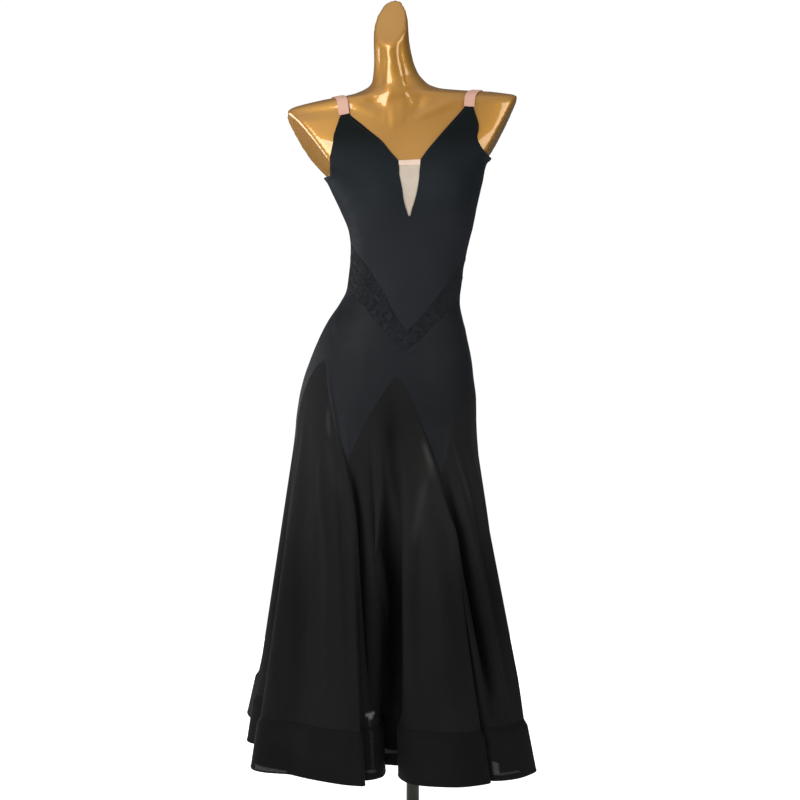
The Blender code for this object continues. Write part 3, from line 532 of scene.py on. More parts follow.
SKIRT_CREASES = [
    # the wearer's right panel: broad and smooth, with its rolled edge beside the centre
    crease(3.4, 3.4, 2, (0.29, -68, 0), (0.42, -69, 3), (0.62, -69.5, 5), (0.78, -70, 2.5),
           (0.88, -70, 0)),
    crease(4.0, 4.0, 2, (0.29, -56, 0), (0.36, -56.6, -4), (0.45, -58, -7), (0.6, -60.7, -7),
           (0.8, -62, 0)),
    crease(3.2, 2.6, 2, (0.29, -43, 0), (0.46, -43.5, 4), (0.63, -44.8, 7), (0.7, -48.7, 6),
           (0.82, -52, 0)),
    crease(2.0, 2.0, 2, (0.29, -35, 0), (0.42, -35, -3), (0.62, -36.5, -5), (0.74, -38, -3),
           (0.82, -39, 0)),
    crease(2.6, 1.0, 2, (0.3, -26.6, 0), (0.36, -26.6, 3), (0.45, -26.6, 6), (0.54, -27, 8),
           (0.63, -28.6, 7), (0.71, -30.8, 4), (0.79, -34, 0)),
    crease(1.4, 3.0, 2, (0.3, -22.4, 0), (0.36, -22.4, -12), (0.45, -22.6, -21), (0.54, -23.3, -25),
           (0.63, -24.9, -21), (0.71, -27.0, -12), (0.79, -31, 0)),
    # centre front: a pale ridge, the deep narrow hollow, and the centre panel's own edge
    crease(3.4, 1.5, 2, (0.31, -15.4, 0), (0.36, -15.4, 8), (0.45, -15.2, 19), (0.52, -14.8, 25),
           (0.59, -14.0, 21), (0.65, -12.8, 12), (0.72, -11.6, 0)),
    crease(5.2, 5.2, 5, (0.295, -6.9, 0), (0.33, -6.8, -18), (0.42, -6.3, -34), (0.52, -5.8, -38),
           (0.63, -5.0, -28), (0.7, -4.1, -17), (0.77, -3.6, -7), (0.82, -3.4, 0)),
    crease(1.6, 4.0, 2, (0.3, 1.8, 0), (0.36, 2.0, 4), (0.44, 2.6, 8), (0.53, 3.0, 10),
           (0.63, 3.6, 9), (0.7, 4.0, 6), (0.78, 4.0, 0)),
    crease(2.6, 2.6, 2, (0.3, 9, 0), (0.4, 9, -3), (0.55, 9.4, -4), (0.66, 10.6, -3),
           (0.76, 12.5, 0)),
    crease(2.2, 2.2, 2, (0.5, 7.6, 0), (0.6, 8.2, 2), (0.65, 9.5, 4), (0.7, 12.5, 4),
           (0.76, 17.6, 3.5), (0.81, 17, 2), (0.86, 15, 0)),
    crease(2.6, 1.2, 2, (0.3, 32.6, 0), (0.36, 32.6, 4), (0.42, 32.2, 7), (0.49, 31.0, 8),
           (0.56, 29.4, 8), (0.63, 27.6, 7), (0.7, 23.6, 5), (0.755, 21.4, 3), (0.82, 15, 0)),
    # the godets' own edges, which stand a little over the yoke beside their seams
    crease(2.4, 0.55, 2, (0.63, -28.0, 0), (0.68, -28.7, 3.6), (0.724, -29.7, 4.6),
           (0.784, -33.5, 4.6), (0.82, -36.6, 4.2), (0.855, -39.4, 3.6), (0.888, -43.4, 2.8),
           (0.919, -48.8, 1.6), (0.945, -55, 0)),
    crease(2.0, 0.55, 2, (0.735, 22.4, 0), (0.76, 21.1, 3.2), (0.80, 18.4, 3.2), (0.822, 16.2, 2.6),
           (0.86, 11.6, 0)),
    # the wearer's left panel, behind a deep slanting crease
    crease(2.6, 3.8, 3, (0.3, 37.8, 0), (0.36, 37.6, -19), (0.42, 37.2, -33), (0.49, 36.2, -38),
           (0.56, 34.6, -34), (0.63, 32.6, -24), (0.7, 28.4, -13), (0.755, 25.6, -6),
           (0.82, 18.5, 0)),
    crease(1.8, 2.8, 2, (0.33, 43.2, 0), (0.42, 43.0, 6), (0.49, 42.6, 9), (0.56, 41.6, 9),
           (0.63, 40.0, 7), (0.7, 38, 3), (0.76, 37.5, 0)),
    crease(2.6, 2.6, 2, (0.29, 49, 0), (0.4, 48.6, -6), (0.55, 48, -7), (0.68, 47, -4),
           (0.8, 46, 0)),
    crease(1.6, 1.6, 2, (0.6, 45, 0), (0.66, 44.4, 2), (0.72, 42.6, 3), (0.78, 38.8, 2.5),
           (0.83, 37, 0)),
    # the back, uneven like the front
    crease(2.4, 3.4, 3, (0.3, 121, 0), (0.42, 121, -16), (0.56, 120.4, -20), (0.68, 120, -9),
           (0.8, 119.4, 0)),
    crease(3.4, 2.6, 3, (0.3, 163.4, 0), (0.42, 163.4, -12), (0.56, 163, -18), (0.68, 162.4, -8),
           (0.8, 162, 0)),
    crease(2.4, 3.6, 3, (0.3, 203.2, 0), (0.42, 203.2, -14), (0.56, 203.6, -18), (0.68, 204, -8),
           (0.8, 205, 0)),
    crease(3.6, 2.4, 3, (0.3, 240, 0), (0.42, 240, -12), (0.56, 239.6, -16), (0.68, 239, -8),
           (0.8, 238.6, 0)),
]
CREASE_FOOT = 0.29
# Creases straight down from the hip, which fade in below their top and out above their foot
STRAIGHT_CREASES = rows(
    "angle width rise top full fades",
    (-86, 2.6, 5.0, 0.80, 0.62, 0.36), (-78, 3.2, -4.0, 0.84, 0.66, 0.36),
    (17.0, 2.4, 3.4, 0.66, 0.54, 0.38), (23.2, 2.4, -3.0, 0.68, 0.56, 0.38),
    (55, 2.6, 4.0, 0.82, 0.66, 0.38), (61.6, 2.4, -5.0, 0.82, 0.62, 0.36),
    (70, 2.6, 4.0, 0.80, 0.62, 0.36), (81.4, 2.8, -4.0, 0.78, 0.60, 0.36),
    (93, 2.6, 4.0, 0.78, 0.60, 0.36), (104.2, 2.6, -6.0, 0.84, 0.64, 0.36),
    (110.6, 2.2, 5.0, 0.86, 0.66, 0.38), (129.4, 2.4, 6.0, 0.82, 0.62, 0.38),
    (138.2, 2.6, -5.0, 0.78, 0.62, 0.38), (146.4, 2.2, 6.0, 0.74, 0.60, 0.38),
    (154.8, 2.4, -6.0, 0.78, 0.60, 0.36), (171, 2.4, 5.0, 0.84, 0.64, 0.38),
    (178.6, 2.6, -4.0, 0.86, 0.68, 0.38), (187.4, 2.6, 5.0, 0.84, 0.66, 0.36),
    (195.4, 2.2, -4.0, 0.80, 0.62, 0.38), (212, 2.2, 6.0, 0.76, 0.62, 0.38),
    (220.4, 2.6, -5.0, 0.84, 0.64, 0.36), (229, 2.4, 5.0, 0.86, 0.66, 0.38),
    (247.6, 2.2, 6.0, 0.82, 0.64, 0.38), (255.4, 2.4, -5.0, 0.80, 0.62, 0.36),
    (263.6, 2.4, 4.0, 0.78, 0.60, 0.36),
)
SKIRT_CREASES += [
    crease(
        line.width, line.width, 2, (CREASE_FOOT, line.angle, 0),
        (line.fades, line.angle, line.rise), (line.full, line.angle, line.rise),
        (line.top, line.angle, 0),
    )
    for line in STRAIGHT_CREASES
]
FORM_GAP = 2.0 * MM  # how close to the form a trough may come
ROOM_SHARE = 0.8  # of the room between cloth and form, what a trough may take
FREE_ROOM = 1.0  # below the form, more than any trough needs
FREE_BELOW = 12 * MM  # how far below the form's foot the cloth becomes free


def skirt_relief(angle, height):
    angle, height = same_shape(angle, height)
    total = np.zeros(angle.shape)
    for line in SKIRT_CREASES:
        at = columns_of(line.path, "height")
        away = angle_from(angle, at["angle"](height))
        reach = np.where(away < 0, line.before, line.after)
        total += at["rise"](height) * MM * np.exp(-(np.abs(away / reach) ** line.squareness))
    held = figure(angle, np.maximum(height, FORM_BOTTOM))
    room = np.linalg.norm((garment(angle, height) - held)[..., :2], axis=-1) - FORM_GAP
    above = height > FORM_BOTTOM - FREE_BELOW
    return np.maximum(total, -np.where(above, ROOM_SHARE * np.maximum(room, 0), FREE_ROOM))


# Short creases in close-fitting cloth; rise and reach in millimetres
BODY_PULLS = rows(
    "angle height to_angle to_height rise reach",
    # waist band, the wearer's right side, where it is creased by the bend of the waist
    (-88, 1.146, -58, 1.118, 1.3, 3.2), (-86, 1.132, -62, 1.106, -1.0, 3.0),
    (-84, 1.120, -56, 1.094, 1.1, 3.0), (-80, 1.108, -62, 1.088, -0.8, 2.8),
    (-52, 1.112, -42, 1.088, 0.8, 3.0), (-40, 1.096, -31, 1.070, -0.8, 3.0),
    (70, 1.136, 88, 1.142, 0.9, 3.0), (66, 1.120, 86, 1.124, -0.8, 3.0),
    (70, 1.104, 88, 1.108, 0.8, 3.0),
    # where the points of the seams meet at centre front
    (-6, 1.026, 0, 1.010, 1.2, 3.0), (2, 1.020, 7, 1.034, 1.0, 3.0),
    (-1, 1.012, 3, 1.000, -0.8, 2.6), (-4, 0.992, 1, 0.970, 1.2, 3.2),
    (3, 0.974, 8, 0.986, 1.0, 3.0), (-12, 0.996, -6, 0.986, -0.8, 3.0),
    # bodice, from the bust to the sides and below it
    (-72, 1.250, -46, 1.262, 0.7, 7.0), (-74, 1.232, -44, 1.236, -0.7, 7.0),
    (50, 1.256, 78, 1.250, 0.7, 7.0), (46, 1.232, 76, 1.234, -0.7, 7.0),
    (-78, 1.204, -48, 1.196, 0.7, 6.0), (44, 1.196, 76, 1.200, 0.7, 6.0),
    (-84, 1.190, -60, 1.178, -0.6, 5.0), (56, 1.176, 84, 1.182, -0.6, 5.0),
    (-16, 1.210, -5, 1.196, 0.5, 6.0), (2, 1.198, 14, 1.208, 0.5, 6.0),
    # yoke
    (-84, 1.050, -60, 1.012, 0.9, 8.0), (-70, 1.010, -48, 0.980, -0.7, 8.0),
    (-30, 0.990, -22, 0.930, 0.7, 8.0), (-34, 0.860, -32, 0.800, 0.9, 5.0),
    (26, 0.980, 34, 0.930, -0.8, 8.0), (22, 0.850, 25, 0.780, 0.9, 5.0),
    (60, 1.030, 80, 1.006, 0.8, 8.0),
    # back
    (104, 1.236, 132, 1.228, 0.7, 7.0), (228, 1.226, 256, 1.236, 0.7, 7.0),
    (120, 1.180, 160, 1.166, 0.8, 6.0), (200, 1.166, 240, 1.180, 0.8, 6.0),
    (112, 1.150, 150, 1.134, -0.8, 5.0), (210, 1.136, 250, 1.152, -0.8, 5.0),
    (140, 1.110, 172, 1.096, 0.9, 4.0), (190, 1.098, 222, 1.112, 0.9, 4.0),
    (130, 1.060, 150, 1.010, -0.8, 8.0), (214, 1.012, 232, 1.062, -0.8, 8.0),
    (148, 0.850, 149, 0.790, 0.9, 5.0), (208, 0.856, 209, 0.800, 0.9, 5.0),
)
DEGREE_ON_BODY = 1.9 * MM  # about how wide a degree is round the body
SOFT_ENDS = 0.3  # of a line's length, over which it fades at its ends


def near_line(x, y, across, up, reach, soft):
    """1 on a short line from the origin, fading beside it and, by the soft share, past its ends."""
    length = math.hypot(across, up)
    along, aside = (x * across + y * up) / length, (x * up - y * across) / length
    return hump(aside, 0, reach) * within(along, 0, length, soft * length, soft * length)


def along_line(line, angle, height):
    """How strongly a short line on the body acts at each place."""
    return near_line(
        angle_from(angle, line.angle) * DEGREE_ON_BODY,
        height - line.height,
        (line.to_angle - line.angle) * DEGREE_ON_BODY,
        line.to_height - line.height,
        line.reach * MM,
        SOFT_ENDS,
    )


def body_relief(angle, height):
    return sum(pull.rise * MM * along_line(pull, angle, height) for pull in BODY_PULLS)


def all_relief(angle, height):
    return body_relief(angle, height) + skirt_relief(angle, height)


# ---------------------------------------------------------------- patches and shells

Patch = namedtuple("Patch", "angle height sunk")  # three arrays, rows by columns

CLOSE = (0.0, 0.8 * MM, 2.0 * MM, 4.0 * MM)  # rows beside a seam or an edge
SEAM_DIP = (0.55 * MM, 0.22 * MM, 0.05 * MM, 0.0)
EDGE_ROLL = (0.35 * MM, -0.25 * MM, -0.45 * MM, -0.35 * MM)  # negative stands out
UNDER = 5 * MM  # how far a seam allowance lies under its neighbour
UNDER_DEPTH = 1.5 * MM
# For each kind of line that bounds a patch, the rows beside it: how far off, and how deep
ROWS_BESIDE = {
    "plain": ((0.0,), (0.0,)),
    "edge": (CLOSE, EDGE_ROLL),
    "seam": (CLOSE, SEAM_DIP),
    "under": ((-UNDER, *CLOSE), (UNDER_DEPTH, *SEAM_DIP)),
}
# How far apart a piece's rows are
UPPER_FRONT_STEP = 4.0 * MM
LOWER_FRONT_STEP = 5.0 * MM
BACK_STEP = 4.2 * MM
LACE_STEP = 4.4 * MM
YOKE_STEP = 6.8 * MM
GODET_STEP = 8.0 * MM
BAND_ROW_STEP = 2.2 * MM
CLOSE_SHARE = 0.45  # of a short column, what the rows beside one of its ends may take
GUIDE_ROWS = 9  # along which a column's length is measured
LEAST_LENGTH = 1 * MM
MERGE_WITHIN = 0.01 * MM
FLAT_RADIUS = 0.115  # of the body, where its cloth is laid flat


def patch_between(foot, head, step, foot_kind, head_kind, surface=garment):
    """A patch of rows between two lines of (angle, height), each of a kind in ROWS_BESIDE."""
    foot, head = np.asarray(foot, float), np.asarray(head, float)

    def between(shares):
        return mix(foot[:, 0], head[:, 0], shares), mix(foot[:, 1], head[:, 1], shares)

    guide = surface(*between(np.linspace(0, 1, GUIDE_ROWS)[:, None]))
    lengths = np.linalg.norm(np.diff(guide, axis=0), axis=-1).sum(0)
    lengths = np.maximum(lengths, LEAST_LENGTH)
    foot_at, foot_sunk = ROWS_BESIDE[foot_kind]
    head_at, head_sunk = ROWS_BESIDE[head_kind]
    room = CLOSE_SHARE * lengths
    foot_share = [np.minimum(d, room) / lengths for d in foot_at]
    head_share = [1 - np.minimum(d, room) / lengths for d in head_at][::-1]
    count = max(2, int(math.ceil(lengths.max() / step)))
    middle = [mix(foot_share[-1], head_share[0], k / count) for k in range(1, count)]
    sunk = np.array([*foot_sunk, *[0.0] * len(middle), *head_sunk[::-1]])[:, None]
    return Patch(*between(np.array(foot_share + middle + head_share)), sunk * np.ones(len(foot)))


def flat_uv(angle, height):
    return np.stack([np.radians(angle) * FLAT_RADIUS, height], -1)


def quads_of(number):
    """The faces of a grid of points, given their numbers."""
    corners = number[:-1, :-1], number[:-1, 1:], number[1:, 1:], number[1:, :-1]
    return np.stack(corners, -1).reshape(-1, 4)


def closed_shell(name, places, normals, wall, quads, uv, material):
    """A closed thin shell: the quads over places, and again a wall further out, joined at rims."""
    count = len(places)
    faces = []
    for quad in quads.tolist():
        face = [k for i, k in enumerate(quad) if k != quad[i - 1]]
        if len(set(face)) == len(face) >= 3:
            faces.append(face)
    ways = {(face[k - 1], face[k]) for face in faces for k in range(len(face))}
    rims = sorted((a, b) for a, b in ways if (b, a) not in ways)
    every = [[k + count for k in face] for face in faces]
    every += [face[::-1] for face in faces]
    every += [[a, b, b + count, a + count] for a, b in rims]
    made = mesh_object(name, np.concatenate([places, places + normals * wall]), every, material)
    loops = np.empty(len(made.data.loops), int)
    made.data.loops.foreach_get("vertex_index", loops)
    layer = made.data.uv_layers.new(name="cloth")
    layer.data.foreach_set("uv", np.concatenate([uv, uv])[loops].ravel())
    return made


def shell(
    name, patches, wall, material, *, surface=garment, relief=body_relief, uv=flat_uv, sheer=None
):
    """A shell of cloth over patches that share the edges they join at."""
    parts, start = [], 0
    for angle, height, sunk in patches:
        normal = outward(surface, angle, height)
        place = surface(angle, height) + normal * (relief(angle, height) - sunk)[..., None]
        # On the godets this value is painted highlight and shade above THIN_BELOW, and below it how much light passes
        veil = np.zeros(angle.shape) if sheer is None else sheer(angle, height)
        number = start + np.arange(angle.size).reshape(angle.shape)
        start += angle.size
        flat = uv(angle, height).reshape(-1, 2)
        parts.append(
            (place.reshape(-1, 3), normal.reshape(-1, 3), flat, veil.ravel(), quads_of(number))
        )
    places, normals, flat, sheer_and_painted_values, quads = (np.concatenate(part) for part in zip(*parts))
    keys = np.round(places / MERGE_WITHIN).astype(np.int64)
    _, first, merged = np.unique(keys, axis=0, return_index=True, return_inverse=True)
    quads = merged.ravel()[quads]
    made = closed_shell(name, places[first], normals[first], wall, quads, flat[first], material)
    if sheer is not None:
        layer = made.data.attributes.new("sheer", "FLOAT", "POINT")
        layer.data.foreach_set("value", np.tile(sheer_and_painted_values[first], 2))
    return made


def placed(name, data):
    made = bpy.data.objects.new(name, data)
    bpy.context.scene.collection.objects.link(made)
    return made


def mesh_object(name, points, faces, material, sharp_over=50):
    data = bpy.data.meshes.new(name)
    data.from_pydata(np.asarray(points).tolist(), [], faces)
    data.update()
    data.shade_smooth()
    data.set_sharp_from_angle(angle=math.radians(sharp_over))
    data.materials.append(material)
    return placed(name, data)


def object_of(name, mesh, material):
    data = bpy.data.meshes.new(name)
    mesh.to_mesh(data)
    mesh.free()
    data.materials.append(material)
    return placed(name, data)


def tube_faces(rings, sides, first=0):
    """The faces of a closed tube of rings of points, with the number of its first point."""
    faces = []
    for low in range(first, first + (rings - 1) * sides, sides):
        for j in range(sides):
            k = (j + 1) % sides
            faces.append((low + j, low + k, low + sides + k, low + sides + j))
    top = first + (rings - 1) * sides
    return faces + [tuple(range(first + sides - 1, first - 1, -1)), tuple(range(top, top + sides))]


# ---------------------------------------------------------------- materials


class Nodes:
    """The nodes of one tree, added and linked by short calls."""

    def __init__(self, tree):
        self.tree = tree

    def fill(self, socket, value):
        if isinstance(value, bpy.types.NodeSocket):
            self.tree.links.new(value, socket)
        else:
            socket.default_value = value

    def add(self, kind, inputs=None, **settings):
        node = self.tree.nodes.new(kind)
        for key, value in settings.items():
            setattr(node, key, value)
        for key, value in (inputs or {}).items():
            self.fill(node.inputs[key], value)
        return node

    def maths(self, operation, a, b=0.0, c=0.0):
        return self.add("ShaderNodeMath", {0: a, 1: b, 2: c}, operation=operation).outputs[0]

    def span(self, value, low, high, to_low=0.0, to_high=1.0, kind="LINEAR"):
        """A value brought from one span to another."""
        ends = {"From Min": low, "From Max": high, "To Min": to_low, "To Max": to_high}
        inputs = {"Value": value, **ends}
        return self.add("ShaderNodeMapRange", inputs, interpolation_type=kind).outputs[0]


class Shader(Nodes):
    """A material of nodes round one Principled shader."""

    def __init__(self, name, colour, roughness, **constants):
        self.made = bpy.data.materials.new(name)
        self.made.use_nodes = True
        super().__init__(self.made.node_tree)
        self.main = self.tree.nodes["Principled BSDF"].inputs
        self.main["Base Color"].default_value = (*colour, 1)
        self.main["Roughness"].default_value = roughness
        for key, value in constants.items():
            self.main[key.replace("_", " ")].default_value = value
        self.relief = {}

    def mapped(self, source, scale, turn):
        turned = (0, 0, math.radians(turn))
        inputs = {"Vector": source, "Scale": scale, "Rotation": turned}
        return self.add("ShaderNodeMapping", inputs).outputs[0]

    def uv(self, scale=(1, 1, 1), turn=0.0):
        """Places on the flat cloth, in metres."""
        return self.mapped(self.add("ShaderNodeUVMap", uv_map="cloth").outputs[0], scale, turn)

    def place(self, scale=(1, 1, 1), turn=0.0):
        """Places on the piece, in metres."""
        return self.mapped(self.add("ShaderNodeTexCoord").outputs["Object"], scale, turn)

    def noise(self, where, scale, detail, roughness):
        inputs = {"Vector": where, "Scale": scale, "Detail": detail, "Roughness": roughness}
        return self.add("ShaderNodeTexNoise", inputs).outputs[0]

    def waves(self, where, scale, direction, distortion, detail):
        inputs = {"Vector": where, "Scale": scale, "Distortion": distortion, "Detail": detail}
        return self.add("ShaderNodeTexWave", inputs, bands_direction=direction).outputs["Fac"]

    def cells(self, where, scale, feature, randomness):
        inputs = {"Vector": where, "Scale": scale, "Randomness": randomness}
        return self.add("ShaderNodeTexVoronoi", inputs, feature=feature).outputs["Distance"]

    def fit(self, value, low, high, to_low=0.0, to_high=1.0):
        return self.span(value, low, high, to_low, to_high, "SMOOTHSTEP")

    def patches(self, size, low, high, scale=(1, 1, 1)):
        """Soft uneven patches, 0 to 1."""
        return self.fit(self.noise(self.place(scale), size, 2.0, 0.5), low, high)

    def level(self, low, high):
        """0 below one height of the piece, 1 above another."""
        apart = self.add("ShaderNodeSeparateXYZ", {0: self.place()})
        return self.fit(apart.outputs["Z"], low, high)

    def mix_colour(self, factor, a, b):
        a, b = (c if isinstance(c, bpy.types.NodeSocket) else (*c, 1) for c in (a, b))
        return self.add("ShaderNodeMix", {0: factor, 6: a, 7: b}, data_type="RGBA").outputs[2]

    def colour(self, factor, a, b):
        self.fill(self.main["Base Color"], self.mix_colour(factor, a, b))

    def roughness(self, factor, low, high):
        self.fill(self.main["Roughness"], self.fit(factor, 0, 1, low, high))

    def bump(self, height, depth, strength):
        """depth is the height difference of the pattern, in metres."""
        inputs = {"Height": height, "Distance": depth, "Strength": strength, **self.relief}
        self.relief = {"Normal": self.add("ShaderNodeBump", inputs).outputs[0]}
        self.fill(self.main["Normal"], self.relief["Normal"])

    # The attribute of how much light a face lets through; on the godets above THIN_BELOW it holds painted highlight
    # and shade
    def sheer(self):
        return self.add("ShaderNodeAttribute", attribute_name="sheer").outputs["Fac"]

    def let_through(self, veil):
        self.fill(self.main["Alpha"], self.maths("MULTIPLY_ADD", veil, -SHEER_FACE, 1.0))


SHEER_FACE = 0.27  # light that one face of a single sheer layer lets through
PAINTED_FORM_HIGHLIGHT = (0.0325, 0.0330, 0.0305)  # painted highlight: the chiffon's colour where the gold form's highlights would show through it
PAINTED_HOLLOW_SHADE = (0.0034, 0.0036, 0.0035)  # painted shade: the chiffon's colour in hollows where it stands off the form, over the dark inside
THIN_BELOW = 0.42  # below this height, the thin cloth shows the light behind; above it, its attribute holds painted highlight of the form and painted shade


def crepe():
    """Matte stretch crepe: fine pebbled knit with a faint green-blue bloom from its sheen, a painted greener sheen
    over the bust, and painted shade at the top.
    """
    s = Shader(
        "stretch_crepe_cloth", (0.0105, 0.0140, 0.0155), 0.56, Specular_IOR_Level=0.055,
        Sheen_Weight=0.005, Sheen_Roughness=0.42, Sheen_Tint=(0.62, 0.86, 0.90, 1),
    )
    cloth = s.uv()
    patchy = s.patches(5.5, 0.34, 0.68)
    # Painted light by height on one cloth: the greener tint over the bust is painted sheen
    waist = s.mix_colour(patchy, (0.0162, 0.0175, 0.0213), (0.0198, 0.0208, 0.0250))
    bust = s.mix_colour(patchy, (0.0126, 0.0160, 0.0186), (0.0168, 0.0210, 0.0245))
    body = s.mix_colour(s.level(1.20, 1.265), waist, bust)
    # Painted shade: the bodice is darker at its top, from about 1.31 m up
    s.colour(s.level(1.31, 1.385), body, (0.0058, 0.0080, 0.0086))
    s.roughness(s.noise(cloth, 60, 3.0, 0.6), 0.50, 0.63)
    s.bump(s.noise(s.place(), 26, 2.0, 0.5), 0.35 * MM, 0.5)
    grain, knit = s.noise(cloth, 1500, 2.0, 0.6), s.waves(cloth, 420, "Y", 1.4, 1.0)
    s.bump(s.maths("MULTIPLY", grain, knit), 0.10 * MM, 0.8)
    return s.made


def lace():
    """Black lace over net: raised sprays of flowers and leaves on a hexagonal ground."""
    s = Shader("waist_lace_cloth", (0.008, 0.009, 0.011), 0.8, Specular_IOR_Level=0.1)
    cloth = s.uv()
    wander = s.add("ShaderNodeTexNoise", {"Vector": cloth, "Scale": 38.0, "Detail": 2.0})
    inputs = {0: cloth, 1: wander.outputs["Color"], 2: (0.014, 0.014, 0.0)}
    bent = s.add("ShaderNodeVectorMath", inputs, operation="MULTIPLY_ADD").outputs[0]
    flower = s.fit(s.cells(bent, 92, "SMOOTH_F1", 0.8), 0.60, 0.30)
    outline = s.fit(s.cells(bent, 92, "DISTANCE_TO_EDGE", 0.8), 0.10, 0.03)
    spray = s.maths("MAXIMUM", flower, outline)
    s.colour(spray, (0.0058, 0.0063, 0.0080), (0.0170, 0.0182, 0.0215))
    s.roughness(spray, 0.86, 0.58)
    s.bump(s.fit(s.cells(cloth, 620, "DISTANCE_TO_EDGE", 0.25), 0.16, 0.05), 0.12 * MM, 0.7)
    s.bump(spray, 0.40 * MM, 0.9)
    return s.made


def satin():
    """Soft stretch satin: smooth face, a blue-grey sheen and slight ripples."""
    s = Shader(
        "yoke_satin_cloth", (0.0130, 0.0160, 0.0200), 0.40, Specular_IOR_Level=0.14,
        Sheen_Weight=0.03, Sheen_Roughness=0.32, Sheen_Tint=(0.66, 0.96, 1.0, 1),
        Anisotropic=0.35,
    )
    cloth = s.uv()
    patchy = s.patches(7.0, 0.34, 0.68, (1, 1, 0.7))
    s.colour(patchy, (0.0076, 0.0088, 0.0110), (0.0118, 0.0132, 0.0158))
    s.roughness(s.noise(cloth, 45, 2.0, 0.5), 0.50, 0.60)
    s.bump(s.noise(s.place((1, 1, 0.6)), 20, 1.0, 0.4), 0.8 * MM, 0.5)
    s.bump(s.waves(cloth, 700, "X", 0.6, 1.0), 0.05 * MM, 0.6)
    return s.made


def chiffon():
    """Sheer matte chiffon: a crinkled fine weave that lets a little light through, with painted shade lower down,
    painted highlights of the gold form and painted shade in its hollows.
    """
    s = Shader(
        "skirt_chiffon_cloth", (0.0095, 0.0095, 0.0102), 0.82, Specular_IOR_Level=0.06,
        Sheen_Weight=0.01, Sheen_Roughness=0.5, Sheen_Tint=(0.9, 0.88, 1.0, 1),
    )
    cloth = s.uv()
    patchy = s.patches(9.0, 0.34, 0.66, (1, 1, 0.35))
    # Painted shade: the chiffon is darker lower down, where less light reaches it
    low = s.mix_colour(patchy, (0.0060, 0.0059, 0.0061), (0.0079, 0.0076, 0.0084))
    high = s.mix_colour(patchy, (0.0110, 0.0110, 0.0110), (0.0142, 0.0138, 0.0148))
    shaded_by_height = s.mix_colour(s.level(0.46, 0.72), low, high)
    # Above THIN_BELOW the attribute is painted light and shade in the colour; below it, it lets light through
    painted_light_zone = s.level(THIN_BELOW - 20 * MM, THIN_BELOW)
    painted_light = s.maths("MULTIPLY", s.sheer(), painted_light_zone)
    # Painted highlight of the gold form where the value is over 0, then painted shade in the hollows where it is under
    # 0
    with_painted_highlight = s.mix_colour(s.maths("MAXIMUM", painted_light, 0.0), shaded_by_height, PAINTED_FORM_HIGHLIGHT)
    s.colour(s.maths("MAXIMUM", s.maths("MULTIPLY", painted_light, -1.0), 0.0), with_painted_highlight, PAINTED_HOLLOW_SHADE)
    s.let_through(s.maths("MULTIPLY", s.sheer(), s.maths("SUBTRACT", 1.0, painted_light_zone)))
    s.roughness(s.noise(cloth, 80, 3.0, 0.6), 0.76, 0.88)
    s.bump(s.noise(s.uv((1, 0.12, 1)), 90, 2.0, 0.5), 0.9 * MM, 0.45)
    warp, weft = s.waves(cloth, 500, "X", 0.5, 1.0), s.waves(cloth, 500, "Y", 0.5, 1.0)
    s.bump(s.maths("MULTIPLY", warp, weft), 0.08 * MM, 0.7)
    return s.made


def braid_cloth():
    """Hem band: chiffon over stiff braid, whose slanting threads show as a fine ribbing."""
    s = Shader(
        "hem_braid_cloth_layers", (0.0045, 0.0043, 0.0045), 0.72, Specular_IOR_Level=0.05,
        Sheen_Weight=0.008, Sheen_Roughness=0.5,
    )
    s.colour(s.patches(12.0, 0.34, 0.66), (0.0043, 0.0042, 0.0044), (0.0058, 0.0056, 0.0059))
    s.roughness(s.noise(s.uv(), 70, 3.0, 0.6), 0.66, 0.78)
    s.bump(s.noise(s.uv((1, 0.3, 1)), 60, 2.0, 0.5), 0.5 * MM, 0.5)
    ways = [s.waves(s.uv(turn=turn), 130, "X", 0.3, 1.0) for turn in (38, -38)]
    s.bump(s.maths("MAXIMUM", *ways), 0.12 * MM, 0.7)
    s.let_through(s.sheer())
    return s.made


def nude_mesh():
    """Nude stretch mesh: a fine hexagonal net over the gold beneath."""
    s = Shader(
        "nude_mesh_net", (0.62, 0.50, 0.42), 0.55, Specular_IOR_Level=0.35, Sheen_Weight=0.1
    )
    net = s.fit(s.cells(s.uv(), 780, "DISTANCE_TO_EDGE", 0.1), 0.22, 0.06)
    shade = s.mix_colour(s.patches(30, 0.3, 0.7), (0.62, 0.52, 0.43), (0.72, 0.65, 0.57))
    s.colour(net, (0.51, 0.42, 0.31), shade)
    s.roughness(net, 0.65, 0.5)
    s.bump(net, 0.10 * MM, 0.8)
    return s.made


def elastic(name, colour, pale, ribs):
    """Satin-faced elastic: lengthwise ribs between picot-like edges."""
    s = Shader(
        name, colour, 0.42, Specular_IOR_Level=0.5, Sheen_Weight=0.2, Sheen_Roughness=0.4,
        Sheen_Tint=(1.0, 0.86, 0.80, 1),
    )
    cloth = s.uv()
    rib = s.waves(cloth, ribs, "X", 0.15, 0.0)
    shade = s.mix_colour(s.patches(40, 0.3, 0.7), colour, pale)
    s.colour(rib, [c * 0.88 for c in colour], shade)
    s.roughness(rib, 0.52, 0.38)
    s.bump(rib, 0.16 * MM, 0.8)
    s.bump(s.waves(cloth, 300, "Y", 0.3, 0.0), 0.06 * MM, 0.6)
    return s.made


